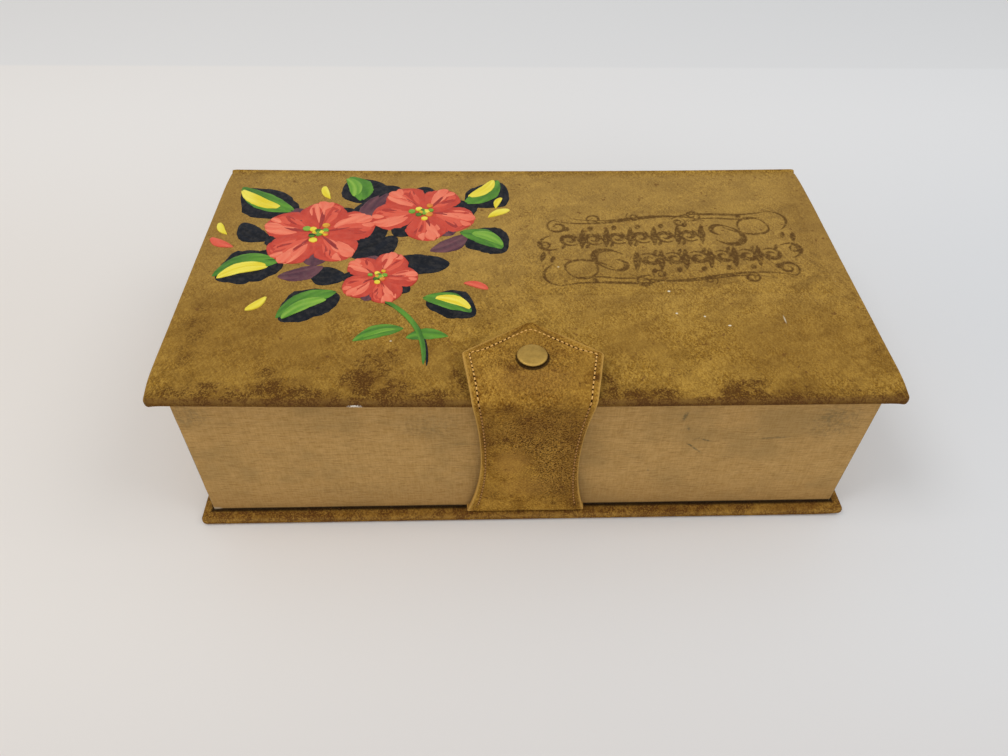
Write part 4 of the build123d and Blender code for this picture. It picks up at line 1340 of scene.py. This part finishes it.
def blossom(centre, reach, first_angle, level, seed):
    """A round blossom: dark strokes that show between five broad petals, and on each petal a light side, a
    warm side, a dark rib and a pale touch near the tip; then a heart of small dots."""
    marks = []
    dice = np.random.default_rng(seed)
    for number in range(5):
        angle = first_angle + 72 * (number + 0.5)
        tones = ((NAVY, SOFT_NAVY), (MAUVE, DEEP_MAUVE))[number % 2]
        marks.append(brush_mark(around(centre, angle, 2), around(centre, angle, reach * 0.96), reach * 0.52,
                                tones, level - 1, 0.0, 1.3, 0.6, 0.2, seed + 60 + number))
    for number in range(5):
        angle = first_angle + 72 * number + dice.normal(0, 4)
        far = reach * dice.uniform(0.94, 1.08)
        for offset, from_share, to_share, wide, tones, step, body in (
                (0, 0.05, 1.0, 0.86, (CORAL, DEEP_CORAL), 0, 0.28),
                (-11, 0.20, 0.93, 0.33, (LIGHT_CORAL, CORAL), 1, 0.22),
                (12, 0.26, 0.96, 0.30, (LIGHT_CORAL, PALE_CORAL), 1, 0.24),
                (2, 0.10, 0.72, 0.09, (DEEP_CORAL, SHADED_CORAL), 2, 0.12),
                (-20, 0.42, 0.82, 0.13, (SHADED_CORAL, DEEP_CORAL), 2, 0.12),
                (7, 0.66, 1.0, 0.24, (PALE_CORAL, LIGHT_CORAL), 3, 0.26),
                (-6, 0.74, 0.98, 0.14, (PALE_CORAL, LIGHT_CORAL), 3, 0.22)):
            marks.append(brush_mark(around(centre, angle + offset * 0.5, far * from_share),
                                    around(centre, angle + offset, far * to_share), far * wide, tones,
                                    level + number % 2 + step, dice.normal(0, 0.7), 1.3, 0.6, body,
                                    seed + 7 * number + offset + 30, 0.3))
    for number in range(11):
        place = around(centre, 33 * number + dice.normal(0, 8), reach * (0.04 + 0.2 * (number % 3) / 2))
        size = reach * dice.uniform(0.055, 0.085)
        tones = ((YELLOW, LIGHT_YELLOW), (GREEN, LIGHT_GREEN), (YELLOW, CORAL), (NAVY, GREEN))[number % 4]
        marks.append(brush_mark((place[0] - size, place[1]), (place[0] + size, place[1]), 1.7 * size, tones,
                                level + 6, 0.0, 1.0, 0.5, 0.4, seed + 50 + number))
    return marks


def leaf(root, tip, width, bend, level, seed, tones=(LIGHT_GREEN, GREEN)):
    """An oval leaf: a wide dark underlayer showing past a green one, a dark rib, and a bright stroke on
    one side of it."""
    root, tip = np.array(root, float), np.array(tip, float)
    run = tip - root
    shift = np.array([1.6, -2.0])
    aside = np.array([-run[1], run[0]]) / np.linalg.norm(run) * width * 0.13
    return [brush_mark(start, end, width * wide, pair, level + step, bend * bow, fat, blunt, body,
                       seed + extra)
            for start, end, wide, pair, step, bow, fat, blunt, body, extra in (
                (root + shift, tip + shift, 1.5, (NAVY, SOFT_NAVY), 0, 1, 0.95, 0.7, 0.2, 0),
                (root, tip, 0.8, (GREEN, DEEP_GREEN), 2, 1, 0.95, 0.75, 0.28, 1),
                (root, root + run * 0.8, 0.09, (NAVY, DEEP_GREEN), 3, 0.8, 0.9, 0.6, 0.1, 3),
                (root + run * 0.2 + aside, root + run * 0.95 + aside, 0.46, tones, 4, 0.8, 0.9, 0.6,
                 0.26, 2))]


# %% The spray's layout, as (distance along the lid, distance back from its front edge)
marks = []
for number, (root, tip, width, bend) in enumerate((
        ((-112, 128), (-142, 150), 17, 3), ((-80, 138), (-88, 161), 16, -3), ((-28, 136), (-10, 158), 15, -3),
        ((-30, 112), (-9, 98), 15, 3), ((-112, 88), (-141, 76), 17, -4), ((-84, 66), (-108, 48), 14, -3),
        ((-46, 62), (-24, 52), 13, 3))):
    tones = ((YELLOW, LIGHT_YELLOW), (LIGHT_GREEN, GREEN))[number % 2]
    marks += leaf(root, tip, width, bend, 0, 300 + 10 * number, tones)
for number, (root, tip, width, bend) in enumerate((
        ((-70, 100), (-74, 140), 22, 4), ((-82, 92), (-60, 108), 16, -3), ((-120, 104), (-136, 118), 12, 3),
        ((-30, 118), (-22, 138), 11, 2), ((-60, 90), (-34, 86), 15, -2), ((-118, 96), (-128, 84), 12, 2),
        ((-90, 84), (-92, 70), 15, 2), ((-26, 106), (-14, 114), 11, -2), ((-74, 134), (-62, 152), 16, 2))):
    marks.append(brush_mark(root, tip, width, (NAVY, SOFT_NAVY), 0, bend, 1.0, 0.6, 0.2, 400 + number))
for number, (root, tip, width, bend) in enumerate((
        ((-76, 116), (-66, 146), 12, 3), ((-92, 84), (-112, 76), 10, 2), ((-44, 96), (-26, 110), 10, -2))):
    marks.append(brush_mark(root, tip, width, (MAUVE, DEEP_MAUVE), 1, bend, 1.0, 0.7, 0.24, 420 + number))
marks.append(brush_mark((-66, 62), (-44, 20), 2.6, (GREEN, DEEP_GREEN), 1, 7, 1.0, 0.22, 0.5, 440))
marks.append(brush_mark((-64.6, 60), (-42.6, 19), 1.6, (NAVY, SOFT_NAVY), 0, 7, 1.0, 0.22, 0.3, 441))
marks.append(brush_mark((-53, 42), (-74, 34), 8, (DEEP_GREEN, GREEN), 1, -2, 0.9, 0.8, 0.3, 442))
marks.append(brush_mark((-56, 41), (-70, 35.5), 2.4, (LIGHT_GREEN, GREEN), 3, -1.4, 0.9, 0.8, 0.2, 443))
marks.append(brush_mark((-52, 36), (-34, 37), 7, (DEEP_GREEN, GREEN), 1, 2, 0.9, 0.8, 0.3, 444))
marks += blossom((-98, 110), 27, 20, 2, 500)
marks += blossom((-48, 128), 25, 56, 3, 600)
marks += blossom((-66, 76), 18, 0, 4, 700)
for number, (x, y, angle, size) in enumerate((
        (-16, 124, 30, 6.5), (-12, 132, 70, 5.0), (-136, 98, 150, 7.0), (-141, 108, 120, 5.5),
        (-114, 62, 230, 6.0), (-28, 72, -20, 6.0), (-96, 140, 110, 6.0))):
    tones = ((YELLOW, LIGHT_YELLOW), (LIGHT_YELLOW, YELLOW), (CORAL, LIGHT_CORAL))[number % 3]
    marks.append(brush_mark((x, y), around((x, y), angle, 2 * size), 0.7 * size, tones, 3, 1.0, 1.2, 0.6,
                            0.45, 800 + number))
print(len(marks), "brush marks")


# %% Paint
def thick_paint():
    """Oily paint whose colour is stored at each point, with bristle lines and a soft gloss."""
    paint = Finish("thick_paint", Specular_IOR_Level=0.14)
    hue = paint.add("Attribute", attribute_name="paint").outputs["Color"]
    cloudy = paint.between(paint.noise(2.4, 4, 0.65), 0.42, 0.64)
    colour = paint.tint(hue, cloudy, 0.02, screen(245, 226, 200))
    roughness = paint.between(paint.noise(3, 3, 0.6), 0.35, 0.65, 0.38, 0.56)
    return paint.coloured(colour, paint.times(paint.noise(0.5, 4, 0.65), 0.06), roughness)


spray = make_piece("painted_spray", joined([mark[0] for mark in marks]), thick_paint(), sharp=70,
                   paint=np.concatenate([mark[1] for mark in marks]))
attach(spray, "lid")

# %% [markdown]
# ## The stamped ornament
# On the right of the lid a hot stamp has pressed pen scrolls into the suede and browned it. Lines this
# fine need a fine grid, so a thin panel of its own, half a millimetre to the cell, lies on the lid and
# swells by a sixth of a millimetre so that the stamp can sink into it. How deep and how brown each point
# is comes from its distance to the pen line: inside the line's half width it is full.

# %% The pen line
STAMP_CENTRE = (71.0, front + 99)
STAMP_TURN = 3.0


def bezier(first, second, third, fourth, count=110):
    """A pen line pulled between two ends by two control points."""
    way = np.linspace(0, 1, count)[:, None]
    corners = [np.array(corner, float) for corner in (first, second, third, fourth)]
    return ((1 - way) ** 3 * corners[0] + 3 * way * (1 - way) ** 2 * corners[1]
            + 3 * way ** 2 * (1 - way) * corners[2] + way ** 3 * corners[3])


def curl(centre, wide, narrow, angle, turns, count=110):
    """A spiral that starts wide at an angle in degrees and winds in over a number of turns, clockwise
    where that number is negative."""
    way = np.linspace(0, 1, count)
    turn = np.radians(angle) + 2 * np.pi * turns * way
    radius = wide + (narrow - wide) * way ** 0.8
    return np.stack([centre[0] + radius * np.cos(turn), centre[1] + radius * np.sin(turn)], axis=1)


def swelling(line, thin, thick, power=1.3):
    """A line with its widths: thin at both ends and thick in the middle, as a pressed nib draws."""
    way = np.linspace(0, 1, len(line))
    return line, thin + (thick - thin) * np.sin(np.pi * way) ** power


def lozenge(x, y, tall, wide, lean=0.0):
    """A short pen stroke: a straight line that swells to its middle."""
    ends = np.array([(x - lean, y - tall / 2), (x + lean, y + tall / 2)])
    way = np.linspace(0, 1, 24)[:, None]
    return swelling(ends[0] + (ends[1] - ends[0]) * way, 0.3, wide, 0.8)


half_ornament = []
for number in range(6):
    place = -14 + 11.8 * number
    half_ornament += [lozenge(place - 4, -9.5, 15.5, 3.4, 1.4), lozenge(place - 1.6, -9.0, 9, 1.4, -1.6),
                      swelling(curl((place + 2.6, -8.8), 5.0, 1.4, 130, -1.25), 0.7, 2.6),
                      lozenge(place + 2.8, -17.4, 3.0, 2.6, 0.6), lozenge(place + 6.2, -3.4, 3.4, 1.8, 0.8)]
half_ornament += [
    swelling(bezier((-24, -4), (-34, 6), (-44, -6), (-33, -14)), 0.6, 3.6),
    swelling(bezier((-33, -14), (-24, -20), (-20, -10), (-27, -8)), 0.6, 2.6),
    swelling(bezier((-22, -20), (0, -34), (26, -14), (54, -25)), 0.5, 1.9),
    swelling(bezier((-12, -24), (6, -30), (22, -19), (44, -26)), 0.4, 1.1),
    swelling(curl((52, -19.5), 6.2, 1.2, -95, 1.4), 0.5, 1.7),
    swelling(curl((33, -25), 4.2, 1.0, 60, -1.3), 0.4, 1.4),
    swelling(curl((13, -25.5), 3.8, 0.9, -60, 1.3), 0.4, 1.3),
    swelling(bezier((54, -2), (63, 2), (66, -9), (57, -12)), 0.5, 2.4),
    swelling(curl((60, -5.5), 3.4, 0.8, 40, 1.2), 0.4, 1.2),
    swelling(bezier((6, 23), (18, 31), (34, 20), (56, 26)), 0.5, 1.8),
    swelling(bezier((14, 20), (26, 26), (36, 17), (50, 21)), 0.4, 1.1),
    swelling(curl((17, 25), 5.0, 1.0, -130, 1.3), 0.5, 1.5),
    swelling(curl((9, 20), 3.6, 0.9, 30, -1.2), 0.4, 1.3),
    swelling(bezier((58, 10), (66, 16), (64, 24), (56, 26)), 0.4, 1.4),
    swelling(bezier((30, 14), (40, 4), (56, 6), (52, 16)), 0.6, 1.5),
    swelling(bezier((52, 16), (48, 26), (34, 20), (38, 10)), 0.6, 1.3),
    lozenge(62, 4, 7, 2.6, 1.0), lozenge(57.5, 6.0, 4.5, 2.0, 0.8), lozenge(40, 22.5, 3.2, 2.4),
]
pen_lines = [(sign * line, width) for line, width in half_ornament for sign in (1, -1)]


def stamp_depth(x, y):
    """1 inside a pen line, 0 more than a quarter of a millimetre outside it, and soft between: for each
    line, the distance to its nearest point less half its width there."""
    turn = math.radians(STAMP_TURN)
    across = (x - STAMP_CENTRE[0]) * math.cos(turn) + (y - STAMP_CENTRE[1]) * math.sin(turn)
    up = (y - STAMP_CENTRE[1]) * math.cos(turn) - (x - STAMP_CENTRE[0]) * math.sin(turn)
    depth = np.zeros(x.size)
    points = np.stack([across.ravel(), up.ravel()], axis=1)
    for line, width in pen_lines:
        low, high = line.min(axis=0) - 2.5, line.max(axis=0) + 2.5
        near = np.flatnonzero(np.all((points > low) & (points < high), axis=1))
        away = np.hypot(points[near, None, 0] - line[None, :, 0], points[near, None, 1] - line[None, :, 1])
        clear = (away - width[None] / 2).min(axis=1)
        depth[near] = np.maximum(depth[near], smoothstep(clear, 0.28, -0.12))
    return depth.reshape(x.shape)


# %% The stamped panel
PANEL_SWELL = 0.17
STAMP_SINK = 0.10
panel_x, panel_y = np.meshgrid(np.arange(STAMP_CENTRE[0] - 71, STAMP_CENTRE[0] + 71.1, 0.5),
                               np.arange(STAMP_CENTRE[1] - 35, STAMP_CENTRE[1] + 35.1, 0.5))
panel_inset = np.minimum(np.minimum(panel_x - panel_x.min(), panel_x.max() - panel_x),
                         np.minimum(panel_y - panel_y.min(), panel_y.max() - panel_y))
stamp = stamp_depth(panel_x, panel_y)
swollen = 0.012 + PANEL_SWELL * smoothstep(panel_inset, 0, 6)
panel_z = lid_height(panel_x, panel_y) + swollen - STAMP_SINK * stamp
panel_grid = np.dstack([panel_x, panel_y, panel_z]).reshape(-1, 3)
panel_index = np.arange(panel_x.size).reshape(panel_x.shape)
border = np.concatenate([panel_index[0, :-1], panel_index[:-1, -1], panel_index[-1, :0:-1],
                         panel_index[:0:-1, 0]])
skirt_points = panel_grid[border] - (0, 0, 0.6)
skirt = panel_x.size + np.arange(len(border))
walls = np.stack([skirt, np.roll(skirt, -1), np.roll(border, -1), border], axis=1)
panel_faces = quads(panel_index).tolist() + walls.tolist() + [skirt[::-1].tolist()]
panel_skin = (np.concatenate([panel_grid, skirt_points]), panel_faces)
panel = make_piece("stamped_panel", panel_skin, suede, sharp=60, stamp=outer_only(stamp, panel_skin))
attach(panel, "lid")

# %% [markdown]
# ## Floor, light and camera
# A pale floor, lighter far off in painted light and darker near the camera in painted shade, a soft lamp
# overhead on each side, a wide one in front, and an even grey world. Together they light a surface at
# about the level at which its colour is written.


# %% Floor and light
def pale_floor():
    """Off-white, a touch warmer on the left and cooler on the right, lighter far off in painted light and
    darker near the camera in painted shade.
    """
    floor = Finish("pale_floor", Roughness=0.75, Specular_IOR_Level=0.2)
    side = floor.between(floor.along("X"), -500, 500)
    tone = floor.blend(side, screen(231, 224, 216), screen(220, 223, 227))
    # Painted light: the floor grows lighter further back
    far = floor.between(floor.along("Y"), 20, 330)
    tone = floor.tint(tone, far, 0.45, screen(250, 249, 248))
    # Painted shade: the floor grows darker towards the camera
    near = floor.between(floor.along("Y"), -120, -300)
    tone = floor.tint(tone, near, 0.9, screen(209, 204, 201))
    beyond = floor.between(floor.along("Y"), 388, 394)
    return floor.coloured(floor.tint(tone, beyond, 0.5, screen(226, 227, 228)))


floor_mesh = bpy.data.meshes.new("floor")
floor_mesh.from_pydata([(-4, -4, 0), (4, -4, 0), (4, 4, 0), (-4, 4, 0)], [], [(0, 1, 2, 3)])
floor_mesh.materials.append(pale_floor())
floor = in_scene("floor", floor_mesh)


def lamp(name, place, aim, size, power):
    """A square area lamp that faces a point."""
    light = bpy.data.lights.new(name, "AREA")
    light.size = size
    light.energy = power
    holder = in_scene(name, light)
    holder.location = place
    direction = np.array(aim) - np.array(place)
    holder.rotation_euler = (math.atan2(math.hypot(direction[0], direction[1]), -direction[2]), 0,
                             math.atan2(direction[1], direction[0]) - math.pi / 2)


lamp("ceiling_left", (-0.65, -0.22, 1.3), (0, 0, 0.05), 0.5, 4.8)
lamp("ceiling_right", (0.85, -0.22, 1.25), (0, 0, 0.05), 0.7, 3.3)
lamp("window_front", (0.1, -1.35, 0.85), (0, 0, 0.04), 1.1, 4.4)

world = bpy.data.worlds.new("studio")
world.use_nodes = True
bpy.context.scene.world = world
tree = world.node_tree
background = tree.nodes["Background"]
background.inputs["Color"].default_value = (0.58, 0.58, 0.58, 1)
seen = tree.nodes.new("ShaderNodeBackground")
seen.inputs["Color"].default_value = screen(224, 220, 215)
rays = tree.nodes.new("ShaderNodeLightPath")
either = tree.nodes.new("ShaderNodeMath")
either.operation = "MAXIMUM"
chooser = tree.nodes.new("ShaderNodeMixShader")
for output, end in (
        (rays.outputs["Is Camera Ray"], either.inputs[0]),
        (rays.outputs["Is Transmission Ray"], either.inputs[1]),
        (either.outputs[0], chooser.inputs[0]), (background.outputs[0], chooser.inputs[1]),
        (seen.outputs[0], chooser.inputs[2]),
        (chooser.outputs[0], tree.nodes["World Output"].inputs["Surface"])):
    tree.links.new(output, end)

# %% Camera
camera_data = bpy.data.cameras.new("camera")
camera_data.lens = 27.85
camera_data.sensor_width = 36
camera = in_scene("camera", camera_data)
camera.location = (-0.0220, -0.2878, 0.3075)
camera.rotation_euler = [math.radians(angle) for angle in (43.90, -1.01, -1.75)]
bpy.context.scene.camera = camera
bpy.context.scene.view_settings.view_transform = "Standard"
